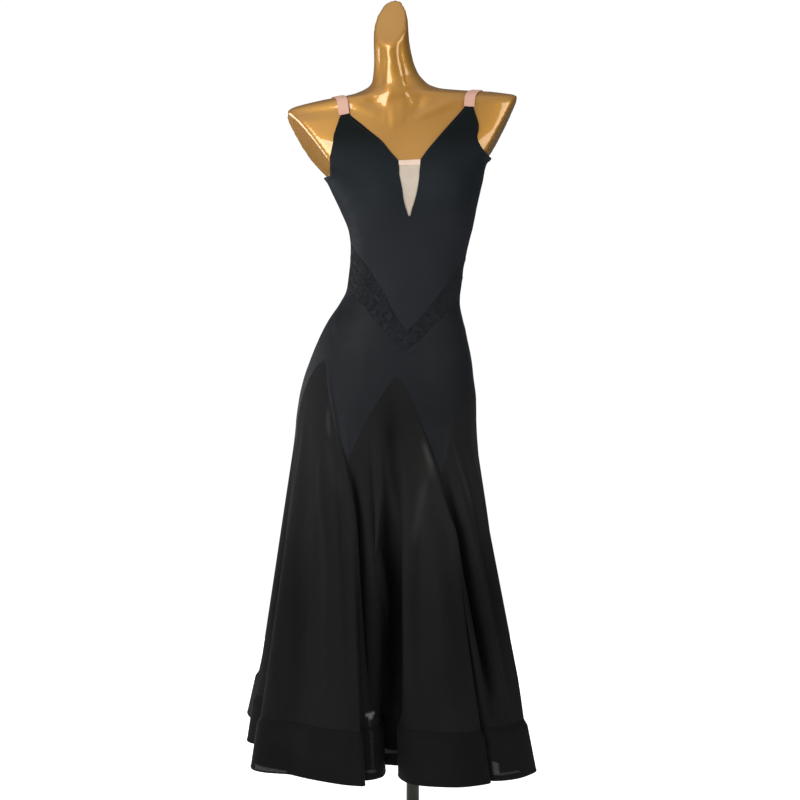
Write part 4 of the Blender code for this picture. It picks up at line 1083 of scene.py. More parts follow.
def gold():
    """Glossy metallic gold lacquer, with the slight unevenness of sprayed paint and rubbing."""
    s = Shader(
        "gold_gloss_lacquer", (0.46, 0.26, 0.075), 0.42, Metallic=0.6, Specular_IOR_Level=0.3,
        Coat_Weight=1.0, Coat_Roughness=0.06, Coat_IOR=1.75,
    )
    drift = s.fit(s.noise(s.place(), 4.5, 3.0, 0.5), 0.35, 0.68)
    speck = s.noise(s.place(), 900, 2.0, 0.6)
    rub = s.noise(s.place((1, 1, 0.4)), 60, 4.0, 0.65)
    base = s.mix_colour(drift, (0.515, 0.235, 0.021), (0.580, 0.280, 0.033))
    s.colour(s.fit(rub, 0.66, 0.80, 0, 0.2), base, (0.44, 0.21, 0.028))
    s.roughness(s.maths("MULTIPLY_ADD", speck, 0.5, s.maths("MULTIPLY", rub, 0.5)), 0.38, 0.46)
    return s.made


def steel():
    """Satin grey-bronze paint on turned steel: rings of the lathe, and a little wear."""
    s = Shader("stand_steel_paint", (0.026, 0.026, 0.021), 0.44, Metallic=0.7)
    fine = s.noise(s.place((1, 1, 0.05)), 700, 2.0, 0.6)
    worn = s.fit(s.noise(s.place(), 46, 4.0, 0.7), 0.62, 0.76)
    s.colour(worn, (0.024, 0.024, 0.0195), (0.046, 0.044, 0.038))
    s.roughness(fine, 0.28, 0.46)
    s.bump(fine, 0.03 * MM, 0.6)
    return s.made


def thread(name, colour):
    s = Shader(name, colour, 0.5, Specular_IOR_Level=0.4, Sheen_Weight=0.2)
    twist = s.waves(s.place((1, 1, 1), 35), 900, "DIAGONAL", 0.2, 0.0)
    s.colour(twist, [c * 0.7 for c in colour], colour)
    s.bump(twist, 0.05 * MM, 0.6)
    return s.made


# ---------------------------------------------------------------- bodice

EDGE_COLUMN = 2.8 * MM  # how far apart the columns of the bodice are
FEET_LEVEL = 1.2  # where the columns' feet are compared
UPPER_FRONT = 0.13  # about how high the front is above the plunge's tip
LEAST_SHARE = 0.01  # of that height, between two of its rows
FINE = 200  # steps in which a run of an edge is measured
EDGE_ROW = -len(CLOSE)  # the row of a patch that its upper edge's stitches follow
PLUNGE_COLUMNS = 15
CHEST_RADIUS = 0.1

STITCH_PITCH = 2.8 * MM
STITCH_LENGTH = 2.5 * MM
STITCH_THICKNESS = 0.42 * MM
STITCH_LIFT = BODICE_WALL + 0.40 * MM
STITCH_SLANT = 0.35
STITCH_WAY = 0.3 * STITCH_PITCH  # how far ahead of a stitch its way is read
# Along a stitch: the share of its length, of its thickness, and how much of that it is sunk
STITCH_RINGS = ((-0.5, 0.45, 0.5), (-0.25, 1.0, 0.0), (0.25, 1.0, 0.0), (0.5, 0.45, 0.5))


def seam_line(seam, angles):
    """A seam round the body that comes to a point at centre front."""
    right, left = (
        columns_of([point for point in seam if point.angle * side >= 0], "angle")["height"]
        for side in (-1, 1)
    )
    return np.stack([angles, np.where(angles < 0, right(angles), left(angles))], -1)


def level_line(angles, height):
    return np.stack([angles, np.full_like(angles, height)], -1)


def run_columns(run):
    """Places and foot angles along one smooth run of an edge."""
    knots = range(len(run))
    angle, height, foot = (
        curve(knots, [getattr(point, name) for point in run]) for name in run[0]._fields
    )
    fine = np.linspace(0, len(run) - 1, FINE)
    feet = garment(*level_line(foot(fine), FEET_LEVEL).T)
    travelled = travelled_along(garment(angle(fine), height(fine)), feet)
    count = max(3, int(travelled[-1] / 2 / EDGE_COLUMN))
    at = np.interp(np.linspace(0, travelled[-1], count + 1), travelled, fine)
    return np.stack([angle(at), height(at)], -1), foot(at)


def edge_columns(runs):
    """The same along an edge of several runs, with the corners only once."""
    columns = [run_columns(run) for run in runs]
    parts = [(head[:-1], feet[:-1]) for head, feet in columns[:-1]] + columns[-1:]
    return tuple(np.concatenate(part) for part in zip(*parts))


def plunge_side(side, share):
    return np.stack([PLUNGE_CURVES[f"{side}_{name}"](share) for name in ("angle", "height")], -1)


def upper_front(level, head, side):
    """The bodice front beside the plunge, bent to the plunge's side with a fading share."""
    # rows are shares of the way up, the same for every column here, so that the sides match
    count = len(patch_between(level, head, UPPER_FRONT_STEP, "plain", "edge").angle)
    base = np.linspace(0, 1, count - len(CLOSE) + 1)
    top = 1 - np.array(CLOSE[::-1]) / UPPER_FRONT
    shares = np.concatenate([base[base < top[0] - LEAST_SHARE], top])
    sunk = np.concatenate([np.zeros(len(shares) - len(CLOSE)), EDGE_ROLL[::-1]])
    places = mix(level, head, shares[:, None, None])
    bend = plunge_side(side, shares) - places[:, -1 if side == "right" else 0]
    nearness = np.linspace(*((0, 1) if side == "right" else (1, 0)), len(level))
    places += bend[:, None] * nearness[:, None] ** 3
    return Patch(places[..., 0], places[..., 1], sunk[:, None] * np.ones(len(level)))


def edge_stitches(name, patch, material):
    """The cover stitch that holds down the turned edge, as one piece of short raised threads."""
    fine = np.linspace(0, 1, 10 * FINE)
    base = np.linspace(0, 1, patch.angle.shape[1])
    line = [np.interp(fine, base, row[EDGE_ROW]) for row in (patch.angle, patch.height)]

    def surface(angle, height):
        return raised(garment, angle, height, body_relief(angle, height))

    travelled = travelled_along(surface(*line))

    def along(distance):
        at = np.interp(distance, travelled, fine)
        return [np.interp(at, fine, values) for values in line]

    count = int(travelled[-1] / STITCH_PITCH)
    middles = (np.arange(count) + 0.5) * STITCH_PITCH
    centre, normal = surface(*along(middles)), outward(surface, *along(middles))
    way = surface(*along(np.minimum(middles + STITCH_WAY, travelled[-1]))) - centre
    way /= np.linalg.norm(way, axis=1, keepdims=True)
    side = np.cross(normal, way)
    slant = np.where(np.arange(count) % 2 == 0, STITCH_SLANT, -STITCH_SLANT)[:, None]
    way, side = way + side * slant, side - way * slant
    points, faces = [], []
    for k in range(count):
        faces += tube_faces(len(STITCH_RINGS), 4, len(points))
        for share, size, sunk in STITCH_RINGS:
            middle = centre[k] + way[k] * STITCH_LENGTH * share
            middle = middle + normal[k] * (STITCH_LIFT - STITCH_THICKNESS * sunk)
            for across, up in ((-0.5, 0.0), (0.0, 0.5), (0.5, 0.0), (0.0, -0.5)):
                offset = side[k] * across + normal[k] * up
                points.append(middle + offset * STITCH_THICKNESS * size)
    return mesh_object(name, points, faces, material, sharp_over=80)


def build_bodice(cloth_of, thread_of):
    head_right, feet_right = edge_columns(FRONT_EDGE_RIGHT)
    head_left, feet_left = edge_columns(FRONT_EDGE_LEFT)
    feet_left[np.argmin(np.abs(feet_left[1:])) + 1] = 0  # a column runs to the point of the seam
    level_right, level_left = (level_line(feet, TIP_LEVEL) for feet in (feet_right, feet_left))
    level = np.concatenate([level_right, level_left])
    foot = seam_line(BODICE_FOOT, level[:, 0])
    lower = patch_between(foot, level, LOWER_FRONT_STEP, "seam", "plain")
    right = upper_front(level_right, head_right, "right")
    left = upper_front(level_left, head_left, "left")
    front = shell("front_bodice_cloth", [lower, right, left], BODICE_WALL, cloth_of)
    stitches = [
        edge_stitches("front_right_edge_stitches", right, thread_of),
        edge_stitches("front_left_edge_stitches", left, thread_of),
    ]

    head, feet = edge_columns(BACK_EDGE)
    patch = patch_between(seam_line(BODICE_FOOT, feet), head, BACK_STEP, "seam", "edge")
    back = shell("back_bodice_cloth", [patch], BODICE_WALL, cloth_of)
    stitches.append(edge_stitches("back_edge_stitches", patch, thread_of))
    return front, back, stitches


def plunge_patch(low, high, count, beyond, depth, roll=0.0):
    """Rows across the plunge from a share of its height to another, reaching beyond its sides."""
    shares = np.linspace(low, high, count)
    across = np.linspace(-beyond, 1 + beyond, PLUNGE_COLUMNS)[:, None]
    right, left = (plunge_side(side, shares)[:, None] for side in ("right", "left"))
    places = mix(right, left, across)
    sunk = depth + roll * np.linspace(-1, 1, count)[:, None] ** 4
    return Patch(places[..., 0], places[..., 1], sunk * np.ones(PLUNGE_COLUMNS))


def binding_uv(angle, height):
    """The binding's flat cloth, whose ribs run across the body."""
    return np.stack([height, np.radians(angle) * CHEST_RADIUS], -1)


def build_inset(mesh_of, binding_of):
    patch = plunge_patch(0.0, BINDING_FOOT + 0.02, count=28, beyond=0.14, depth=1.0 * MM)
    inset = shell("plunge_inset_mesh", [patch], INSET_WALL, mesh_of)
    patch = plunge_patch(
        BINDING_FOOT, 1.0, count=8, beyond=0.02, depth=0.45 * MM, roll=0.5 * MM
    )
    binding = shell("plunge_binding_elastic", [patch], BINDING_WALL, binding_of, uv=binding_uv)
    return inset, binding


# ---------------------------------------------------------------- waist, yoke and skirt

ARCH_COLUMNS = 60  # on each side of a godet's apex
ARCH_SMOOTHINGS = 3


def godet_ends(number):
    """The yoke's points on both sides of a godet."""
    first = YOKE_POINTS[number]
    second = YOKE_POINTS[(number + 1) % len(YOKE_POINTS)]
    if number + 1 == len(YOKE_POINTS):
        second = second._replace(angle=second.angle + 360)
    return first, second


def arch_line(number):
    """The seam at the top of a godet, from one yoke point over the apex to the next."""
    first, second = godet_ends(number)
    arch = ARCHES[number]
    share = np.linspace(0, 1, ARCH_COLUMNS + 1)
    rise = 1 - (1 - share) ** arch.steepness_before
    before = mix(first.angle, arch.apex_angle, share), mix(first.height, arch.apex_height, rise)
    fall = 1 - share**arch.steepness_after
    after = mix(arch.apex_angle, second.angle, share), mix(second.height, arch.apex_height, fall)
    line = np.concatenate([np.stack(before, -1), np.stack(after, -1)[1:]])
    for _ in range(ARCH_SMOOTHINGS):  # the arch's top is rounded, as a sewn curve is
        line[1:-1, 1] = smoothed(line[:, 1])
    return line


def yoke_columns(side):
    """The foot of a yoke, from arch to arch, and the angles of its columns further up."""
    lines = [arch_line(number) for number in side.godets]
    foot = np.concatenate([lines[0]] + [line[1:] for line in lines[1:]])
    scale = (side.last - side.first) / (foot[-1, 0] - foot[0, 0])
    return foot, side.first + (foot[:, 0] - foot[0, 0]) * scale


def build_waist_and_yoke(lace_of, satin_of):
    made = []
    for side in YOKE_SIDES:
        foot, angles = yoke_columns(side)
        waist, bodice = seam_line(LACE_FOOT, angles), seam_line(BODICE_FOOT, angles)
        patch = patch_between(waist, bodice, LACE_STEP, "under", "under")
        made.append(shell(f"{side.name}_waist_lace", [patch], LACE_WALL, lace_of))
        patch = patch_between(foot, waist, YOKE_STEP, "seam", "seam")
        name = f"{side.name}_yoke_satin"
        made.append(shell(name, [patch], YOKE_WALL, satin_of, relief=all_relief))
    return made


FAN_TOP = SEAT + 0.35  # where the lines down a godet's flat cloth would meet
FAN_SPREAD = 0.5  # the angle between its sides, in radians
MOST_BEYOND = 2.2  # degrees that a side allowance may take
LEAST_WIDTH = 0.2 * MM
SIDE_DIP = 0.5 * MM


def fan_uv(number):
    """A godet's flat cloth, and that of the hem band below it."""
    first, second = godet_ends(number)
    middle, span = (first.angle + second.angle) / 2, second.angle - first.angle

    def uv(angle, height):
        reach = FAN_TOP - height
        spread = (angle - middle) / span * FAN_SPREAD
        return np.stack([reach * np.sin(spread), -reach * np.cos(spread)], -1)

    return uv


# Painted light and shade on the chiffon: painted highlights of the gold form where the chiffon lies on it, and painted
# shade in the hollows where it stands off it. An amount over 0 makes it lighter, and one under 0 darker
PAINTED_LIGHT_AND_SHADE = rows(
    "angle height to_angle to_height reach amount",
    (15.6, 0.806, 18.6, 0.768, 2.6, 0.90), (18.2, 0.778, 18.8, 0.742, 3.0, 0.45),
    (14.6, 0.735, 8.6, 0.640, 5.0, 0.36), (17.0, 0.800, 14.0, 0.700, 13.0, 0.16),
    (-4.0, 0.900, -4.5, 0.800, 12.0, -0.20), (-4.0, 0.860, -2.6, 0.700, 7.5, -0.66),
    (-46.6, 0.868, -44.0, 0.824, 2.8, 0.88), (-44.0, 0.800, -38.0, 0.720, 7.0, 0.18),
    (39.0, 0.780, 44.0, 0.700, 3.0, 0.30), (43.5, 0.715, 45.0, 0.690, 3.0, 0.35),
    (-66.0, 0.900, -62.0, 0.760, 14.0, 0.10), (62.0, 0.860, 66.0, 0.760, 12.0, 0.12),
    (118.0, 0.890, 122.0, 0.760, 12.0, 0.20), (121.0, 0.820, 120.6, 0.670, 6.0, -0.50),
    (170.0, 0.880, 166.0, 0.740, 12.0, 0.22), (163.0, 0.800, 163.0, 0.660, 6.0, -0.50),
    (190.0, 0.880, 194.0, 0.740, 12.0, 0.18), (238.0, 0.890, 242.0, 0.760, 12.0, 0.20),
)


def godet_painted_light_and_sheer(angle, height):
    """The painted highlight and shade of the chiffon, and lower down how much light it lets through."""
    total = sum(painted_light.amount * along_line(painted_light, angle, height) for painted_light in PAINTED_LIGHT_AND_SHADE)
    return np.where(height < THIN_BELOW, band_sheer(angle, height), np.clip(total, -1, 1))


SPOT_FADE_UP = (1.5 * MM, 1 * MM)  # how far a thin spot fades, outside and inside its edge
SPOT_FADE_ROUND = (0.5, 0.2)
# Places in the hem bands where only one layer lies before the light: corners as (angle, height)
THIN_SPOTS = rows(
    "from_angle to_angle low_left low_right high_left high_right amount",
    (-70.2, -60, 0.2025, 0.2030, 0.2125, 0.2060, 0.6),
    (-25.3, -23.6, 0.3140, 0.3080, 0.3220, 0.3220, 0.9),
    (-23.6, -22.0, 0.3080, 0.3140, 0.3220, 0.3220, 0.9),
    (-24.1, -23.9, 0.2200, 0.2200, 0.3070, 0.3070, 0.45),
    (-25.6, -23.4, 0.2130, 0.2120, 0.2190, 0.2180, 0.45),
    (-14, -8.6, 0.222, 0.224, 0.232, 0.227, 0.35),
    (33.0, 35.4, 0.2110, 0.2105, 0.2350, 0.2320, 0.6),
    (35.4, 45.0, 0.2095, 0.2110, 0.2140, 0.2140, 0.5),
)


def band_sheer(angle, height):
    """How much of the light behind it a place near the hem lets through."""
    total = np.zeros(np.broadcast(angle, height).shape)
    for spot in THIN_SPOTS:
        t = np.clip((angle - spot.from_angle) / (spot.to_angle - spot.from_angle), 0, 1)
        low, high = mix(spot.low_left, spot.low_right, t), mix(spot.high_left, spot.high_right, t)
        inside = within(height, low, high, *SPOT_FADE_UP)
        inside = inside * within(angle, spot.from_angle, spot.to_angle, *SPOT_FADE_ROUND)
        total = np.maximum(total, spot.amount * inside)
    return total


def with_side_allowance(patch, surface=garment):
    """One more column past the last, under the neighbouring piece."""
    angle, height = patch.angle[:, -1], patch.height[:, -1]
    width = np.linalg.norm(surface(angle + NEARBY_ANGLE, height) - surface(angle, height), axis=-1)
    beyond = np.minimum(NEARBY_ANGLE * UNDER / np.maximum(width, LEAST_WIDTH), MOST_BEYOND)
    column = angle + beyond, height, np.full(len(angle), UNDER_DEPTH)
    return Patch(*(np.column_stack(pair) for pair in zip(patch, column)))


def side_dips(patch):
    sunk = patch.sunk.copy()
    sunk[:, [0, -1]] = np.maximum(sunk[:, [0, -1]], SIDE_DIP)
    return patch._replace(sunk=sunk)


def build_skirt(chiffon_of, braid_of):
    """Each godet, followed by its hem band."""
    made = []
    for number in range(len(YOKE_POINTS)):
        top = arch_line(number)
        hem, seam = (level_line(top[:, 0], height) for height in (HEM, BAND_TOP))
        looks = {"relief": skirt_relief, "uv": fan_uv(number)}
        name = f"godet_{number + 1}_chiffon"
        patch = patch_between(seam, top, GODET_STEP, "under", "under")
        patch = with_side_allowance(side_dips(patch))
        made.append(shell(name, [patch], SKIRT_WALL, chiffon_of, sheer=godet_painted_light_and_sheer, **looks))
        name = f"hem_band_{number + 1}_braid"
        patch = patch_between(hem, seam, BAND_ROW_STEP, "edge", "seam", band_surface)
        patch = with_side_allowance(side_dips(patch), band_surface)
        looks["surface"] = band_surface
        made.append(shell(name, [patch], BAND_WALL, braid_of, sheer=band_sheer, **looks))
    return made


# ---------------------------------------------------------------- dress form

FORM_COLUMNS = 300
FORM_STEP = 2.5 * MM
FORM_EDGE = 10 * MM  # how round its lower edge is
FORM_EDGE_RINGS = 5
FORM_VOXEL = 3.4 * MM
FORM_SMOOTHINGS = 5
CUT_WITHIN = 0.05 * MM
RIM_SMOOTHINGS = 8
# A place of the remeshed form goes back onto the exact surface, unless it lies as far off as this
# or faces as far apart from it as this, as it does at the rims that are to be round
RIM_OFF = (0.5 * MM, 1.2 * MM)
RIM_APART = (0.002, 0.012)
LEAST_KEPT = 0.01  # share left off the surface, from which a place counts as a rim
MUSCLE_RISE = 5.0 * MM
MUSCLE_EDGE = 6 * MM
MUSCLE_RIGHT = ((1.395, 1.500), (-0.0575, -0.0510))  # heights, and where the muscle is there
MUSCLE_LEFT = ((1.395, 1.520), (0.0000, -0.0275))
MUSCLE_FOOT = (1.385, 1.460)  # heights between which the muscles fade in, and out
MUSCLE_TOP = (1.475, 1.590)
NECK_FRONT = (-0.01, 0.03)  # how far forward all of it fades in
NECK_SOFT = 0.25  # of a line's length, over which it fades at its ends
# Collarbones and the hollow between them; rise and reach in millimetres
NECK_LINES = rows(
    "top_x top_z foot_x foot_z rise reach",
    (-0.060, 1.410, -0.118, 1.430, 1.8, 8), (0.006, 1.404, 0.078, 1.436, 2.2, 8),
    (-0.038, 1.424, -0.036, 1.388, 2.2, 4.5), (-0.023, 1.428, -0.024, 1.394, 2.6, 5),
    (-0.082, 1.440, -0.066, 1.432, -2.0, 9), (0.013, 1.446, 0.005, 1.418, -4.0, 9),
)


def neck_relief(points):
    """Neck muscles, collarbones and the hollow between them, on the front of the form."""
    x, y, z = points.T
    # the muscles bound a flat front that widens downwards
    right, left = np.interp(z, *MUSCLE_RIGHT), np.interp(z, *MUSCLE_LEFT)
    rise = MUSCLE_RISE * within(x, right, left, MUSCLE_EDGE, MUSCLE_EDGE)
    rise = rise * ease(z, *MUSCLE_FOOT) * (1 - ease(z, *MUSCLE_TOP))
    for line in NECK_LINES:
        across, up = line.foot_x - line.top_x, line.foot_z - line.top_z
        near = near_line(x - line.top_x, z - line.top_z, across, up, line.reach * MM, NECK_SOFT)
        rise += line.rise * MM * near
    return rise * ease(-y, *NECK_FRONT)


def form_ring(height, outset):
    """The places round the form at one height."""
    angles = np.linspace(0, 360, FORM_COLUMNS + 1)[:-1]
    heights = np.full(FORM_COLUMNS, height)
    place = figure(angles, heights, outset)
    normal = outward(lambda a, h: figure(a, h, outset), angles, heights)
    return place + normal * neck_relief(place)[:, None]


def build_form(gold_of):
    rings = []
    for step in range(FORM_EDGE_RINGS):
        turned = math.radians(90 * step / FORM_EDGE_RINGS)
        inset = FORM_EDGE * (1 - math.sin(turned)) + FORM_INSET
        height = FORM_BOTTOM + FORM_EDGE * (1 - math.cos(turned))
        rings.append(form_ring(height, -inset))
    for height in np.arange(FORM_BOTTOM + FORM_EDGE, FIGURE[-1].height, FORM_STEP):
        rings.append(form_ring(height, -FORM_INSET))
    mesh = bmesh.new()
    verts = [[mesh.verts.new(place) for place in ring] for ring in rings]
    for low, high in zip(verts, verts[1:]):
        for j in range(FORM_COLUMNS):
            k = (j + 1) % FORM_COLUMNS
            mesh.faces.new((low[j], low[k], high[k], high[j]))
    mesh.faces.new(reversed(verts[0]))
    mesh.faces.new(verts[-1])
    bmesh.ops.bisect_plane(
        mesh,
        geom=mesh.verts[:] + mesh.edges[:] + mesh.faces[:],
        dist=CUT_WITHIN,
        plane_co=NECK_CUT_POINT,
        plane_no=NECK_CUT_AWAY,
        clear_outer=True,
    )
    rim = [edge for edge in mesh.edges if edge.is_boundary]
    bmesh.ops.holes_fill(mesh, edges=rim, sides=0)
    form = object_of("dress_form_gold", mesh, gold_of)
    cutters = [arm_cutter(cut, gold_of) for cut in ARM_CUTS]
    for cutter in cutters:
        trim = form.modifiers.new(cutter.name, "BOOLEAN")
        trim.object = cutter
        trim.operation = "DIFFERENCE"
    settle(form)
    exact = BVHTree.FromObject(form, bpy.context.evaluated_depsgraph_get())
    rounded = form.modifiers.new("rounded", "REMESH")
    rounded.mode = "VOXEL"
    rounded.voxel_size = FORM_VOXEL
    soft = form.modifiers.new("soft", "SMOOTH")
    soft.factor = 0.5
    soft.iterations = FORM_SMOOTHINGS
    settle(form)
    facing = [vertex.normal.copy() for vertex in form.data.vertices]
    rims = []
    for vertex, normal in zip(form.data.vertices, facing):
        on_surface, exact_normal, _, distance = exact.find_nearest(vertex.co)
        apart = 1 - abs(normal.dot(exact_normal))
        kept = max(float(ease(distance, *RIM_OFF)), float(ease(apart, *RIM_APART)))
        vertex.co = on_surface + (vertex.co - on_surface) * kept
        if kept > LEAST_KEPT:
            rims.append(vertex.index)
    mesh = bmesh.new()
    mesh.from_mesh(form.data)
    mesh.verts.ensure_lookup_table()
    near_rims = [mesh.verts[k] for k in rims]
    for _ in range(RIM_SMOOTHINGS):
        bmesh.ops.smooth_vert(
            mesh, verts=near_rims, factor=0.5, use_axis_x=True, use_axis_y=True, use_axis_z=True
        )
    mesh.to_mesh(form.data)
    mesh.free()
    for cutter in cutters:
        bpy.data.objects.remove(cutter)
    form.data.shade_smooth()
    return form


def settle(thing):
    """Puts the result of an object's modifiers in its mesh."""
    bpy.context.view_layer.update()
    graph = bpy.context.evaluated_depsgraph_get()
    final = bpy.data.meshes.new_from_object(thing.evaluated_get(graph))
    thing.modifiers.clear()
    thing.data = final


def arm_cutter(cut, material):
    """A wedge beyond the line at which an arm is cut off."""
    far, rise = cut.outwards * ARM_CUTTER_REACH, math.tan(math.radians(cut.steepness))
    corners = ((0, 0), (far, 0), (far, ARM_CUTTER_REACH * rise))
    mesh = bmesh.new()
    front, back = (
        [mesh.verts.new((x, y, z)) for x, z in corners]
        for y in (-ARM_CUTTER_REACH, ARM_CUTTER_REACH)
    )
    mesh.faces.new(front)
    mesh.faces.new(reversed(back))
    for k in range(3):
        mesh.faces.new((front[k], back[k], back[(k + 1) % 3], front[(k + 1) % 3]))
    bmesh.ops.recalc_face_normals(mesh, faces=mesh.faces)
    cutter = object_of(cut.name, mesh, material)
    cutter.location = (cut.armpit_x, ARM_CENTRE_Y, cut.armpit_z)
    cutter.rotation_euler.z = math.radians(-cut.outwards * cut.turn)
    return cutter


# ---------------------------------------------------------------- straps

STRAP_ACROSS = 9  # places across a strap
STRAP_ALONG = 90
STRAP_ENDS = ((10, 0.9), (5, 0.9), (0.5, 0.7))  # rows in mm: below the bodice's edge, further in
STRAP_ROLL = 0.25 * MM
STRAP_SMOOTHINGS = 4
STRAP_BRIDGES = (-1.5, 0, 1.5)  # steps away, where the form holds a place of the strap up too


def strap_way(direction):
    turned = math.radians(direction)
    return Vector((0, -math.cos(turned), math.sin(turned)))


def form_reach(tree, pivot, direction):
    """How far the form reaches from a pivot inside it."""
    way = strap_way(direction)
    return (tree.ray_cast(pivot + way, -way)[0] - pivot).length


def on_edge(run, shares, down, sunk):
    """Places along a straight run of the bodice's edge, but below it and further in."""
    first, last = run
    angle, height = mix(first.angle, last.angle, shares), mix(first.height, last.height, shares)
    return raised(garment, angle, height - down * MM, -sunk * MM)


def build_strap(name, route, front_run, back_run, tree, material):
    """An elastic strap: its ends lie under the bodice's edges, and it follows the form between."""
    place_at = columns_of(route, "direction")["across"]
    directions = np.linspace(route[0].direction, route[-1].direction, STRAP_ALONG)[1:-1]
    step = directions[1] - directions[0]
    shares = np.linspace(0, 1, STRAP_ACROSS)
    grid = [on_edge(front_run, shares, *end) for end in STRAP_ENDS]
    for direction in directions:
        row = []
        for share in shares:
            x = float(place_at(direction)) + (share - 0.5) * STRAP_WIDTH
            pivot = Vector((x, STRAP_PIVOT_Y, STRAP_PIVOT_Z))
            reach = max(form_reach(tree, pivot, direction + step * k) for k in STRAP_BRIDGES)
            row.append(pivot + strap_way(direction) * (reach + STRAP_CLEARANCE))
        grid.append(row)
    grid += [on_edge(back_run, shares[::-1], *end) for end in STRAP_ENDS[::-1]]
    grid = np.array([[list(place) for place in row] for row in grid])
    held = len(STRAP_ENDS)
    for _ in range(STRAP_SMOOTHINGS):  # a strap under tension has no short bends
        grid[held + 1 : -held - 1] = smoothed(grid[held:-held])
    along, across = np.gradient(grid, axis=(0, 1))
    normal = np.cross(across, along)
    normal /= np.linalg.norm(normal, axis=-1, keepdims=True)
    grid -= normal * (STRAP_ROLL * np.abs(2 * shares - 1) ** 6)[:, None]
    travelled = travelled_along(grid[:, STRAP_ACROSS // 2])
    uv = np.stack(np.broadcast_arrays((shares - 0.5) * STRAP_WIDTH, travelled[:, None]), -1)
    quads = quads_of(np.arange(uv[..., 0].size).reshape(uv.shape[:2]))
    places, normals, uv = grid.reshape(-1, 3), normal.reshape(-1, 3), uv.reshape(-1, 2)
    return closed_shell(name, places, normals, STRAP_WALL, quads, uv, material)


def build_straps(form, material):
    tree = BVHTree.FromObject(form, bpy.context.evaluated_depsgraph_get())
    return [
        build_strap(f"{name}_strap_elastic", route, front_run, back_run, tree, material)
        for name, route, front_run, back_run in (
            ("right", STRAP_RIGHT, FRONT_EDGE_RIGHT[1], BACK_EDGE[3]),
            ("left", STRAP_LEFT, FRONT_EDGE_LEFT[1], BACK_EDGE[1]),
        )
    ]


# ---------------------------------------------------------------- stand

SMALL_BEVEL = 1 * MM
BASE_BEVEL = 2.5 * MM
HUB_HOLLOW = 3 * MM
FLANGE_BEVEL = 1.5 * MM
FLANGE_GAP = 0.2 * MM


def turned_piece(name, profile, material, sides=96):
    turns = [2 * math.pi * step / sides for step in range(sides)]
    points = [(r * math.cos(t), r * math.sin(t), height) for r, height in profile for t in turns]
    return mesh_object(name, points, tube_faces(len(profile), sides), material, sharp_over=30)


def rounded_corner(radius, height, bevel, steps=5):
    """Profile points round a corner, from the side to the top; a negative bevel hollows it."""
    turns = [math.radians(90 * k / steps) for k in range(steps + 1)]
    return [(radius - bevel * (1 - math.cos(t)), height - bevel * (1 - math.sin(t))) for t in turns]


def build_stand(material):
    hub_top = BASE_THICKNESS + HUB_HEIGHT
    profile = [(BASE_RADIUS - SMALL_BEVEL, 0.0), (BASE_RADIUS, SMALL_BEVEL)]
    profile += rounded_corner(BASE_RADIUS, BASE_THICKNESS, BASE_BEVEL)
    profile += rounded_corner(HUB_RADIUS, BASE_THICKNESS, -HUB_HOLLOW)[::-1]
    profile += rounded_corner(HUB_RADIUS, hub_top, BASE_BEVEL)
    base = turned_piece("stand_base_turned", profile, material)
    flange_top = FORM_BOTTOM - FLANGE_GAP
    flange_foot = flange_top - FLANGE_THICKNESS
    profile = [(POLE_RADIUS, hub_top - SMALL_BEVEL), (POLE_RADIUS, flange_foot)]
    profile += [(FLANGE_RADIUS - SMALL_BEVEL, flange_foot)]
    profile += rounded_corner(FLANGE_RADIUS, flange_top, FLANGE_BEVEL)
    pole = turned_piece("stand_pole_turned", profile, material, sides=64)
    return base, pole


# ---------------------------------------------------------------- the pieces and their cloth

black_thread = thread("black_thread", (0.012, 0.014, 0.015))
front_bodice, back_bodice, edge_rows = build_bodice(crepe(), black_thread)
elastic_cloth = elastic("nude_elastic_strap", (0.72, 0.40, 0.29), (0.80, 0.50, 0.39), 420)
binding_cloth = elastic("nude_elastic_binding", (0.84, 0.63, 0.48), (0.90, 0.74, 0.61), 300)
inset, binding = build_inset(nude_mesh(), binding_cloth)
lace_front, yoke_front, lace_back, yoke_back = build_waist_and_yoke(lace(), satin())
skirt = build_skirt(chiffon(), braid_cloth())
godets, bands = skirt[0::2], skirt[1::2]
form = build_form(gold())
strap_right, strap_left = build_straps(form, elastic_cloth)
stand_base, stand_pole = build_stand(steel())

REPLACED = [
    (front_bodice, "bodice_front", "stretch_crepe"),
    (back_bodice, "bodice_back", "stretch_crepe"),
    (inset, "plunge_inset", "nude_mesh"),
    (binding, "inset_binding", "nude_elastic"),
    (strap_right, "strap_right", "nude_elastic"),
    (strap_left, "strap_left", "nude_elastic"),
    (lace_front, "waist_band_front", "waist_lace"),
    (lace_back, "waist_band_back", "waist_lace"),
    (yoke_front, "yoke_front", "yoke_satin"),
    (yoke_back, "yoke_back", "yoke_satin"),
    (form, "dress_form", "gold_gloss"),
    (stand_base, "stand_base", "stand_steel"),
    (stand_pole, "stand_pole", "stand_steel"),
]
for number, (godet, band) in enumerate(zip(godets, bands), 1):
    REPLACED.append((godet, f"skirt_godet_{number}", "skirt_chiffon"))
    REPLACED.append((band, f"hem_band_{number}", "hem_braid_cloth"))
for piece, node, slot in REPLACED:
    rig.ride(piece, BODY)
    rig.replaces(piece, node)
    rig.slot(piece, slot)

for row in edge_rows:
    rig.ride(row, BODY)
    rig.slot(row, "stretch_crepe")

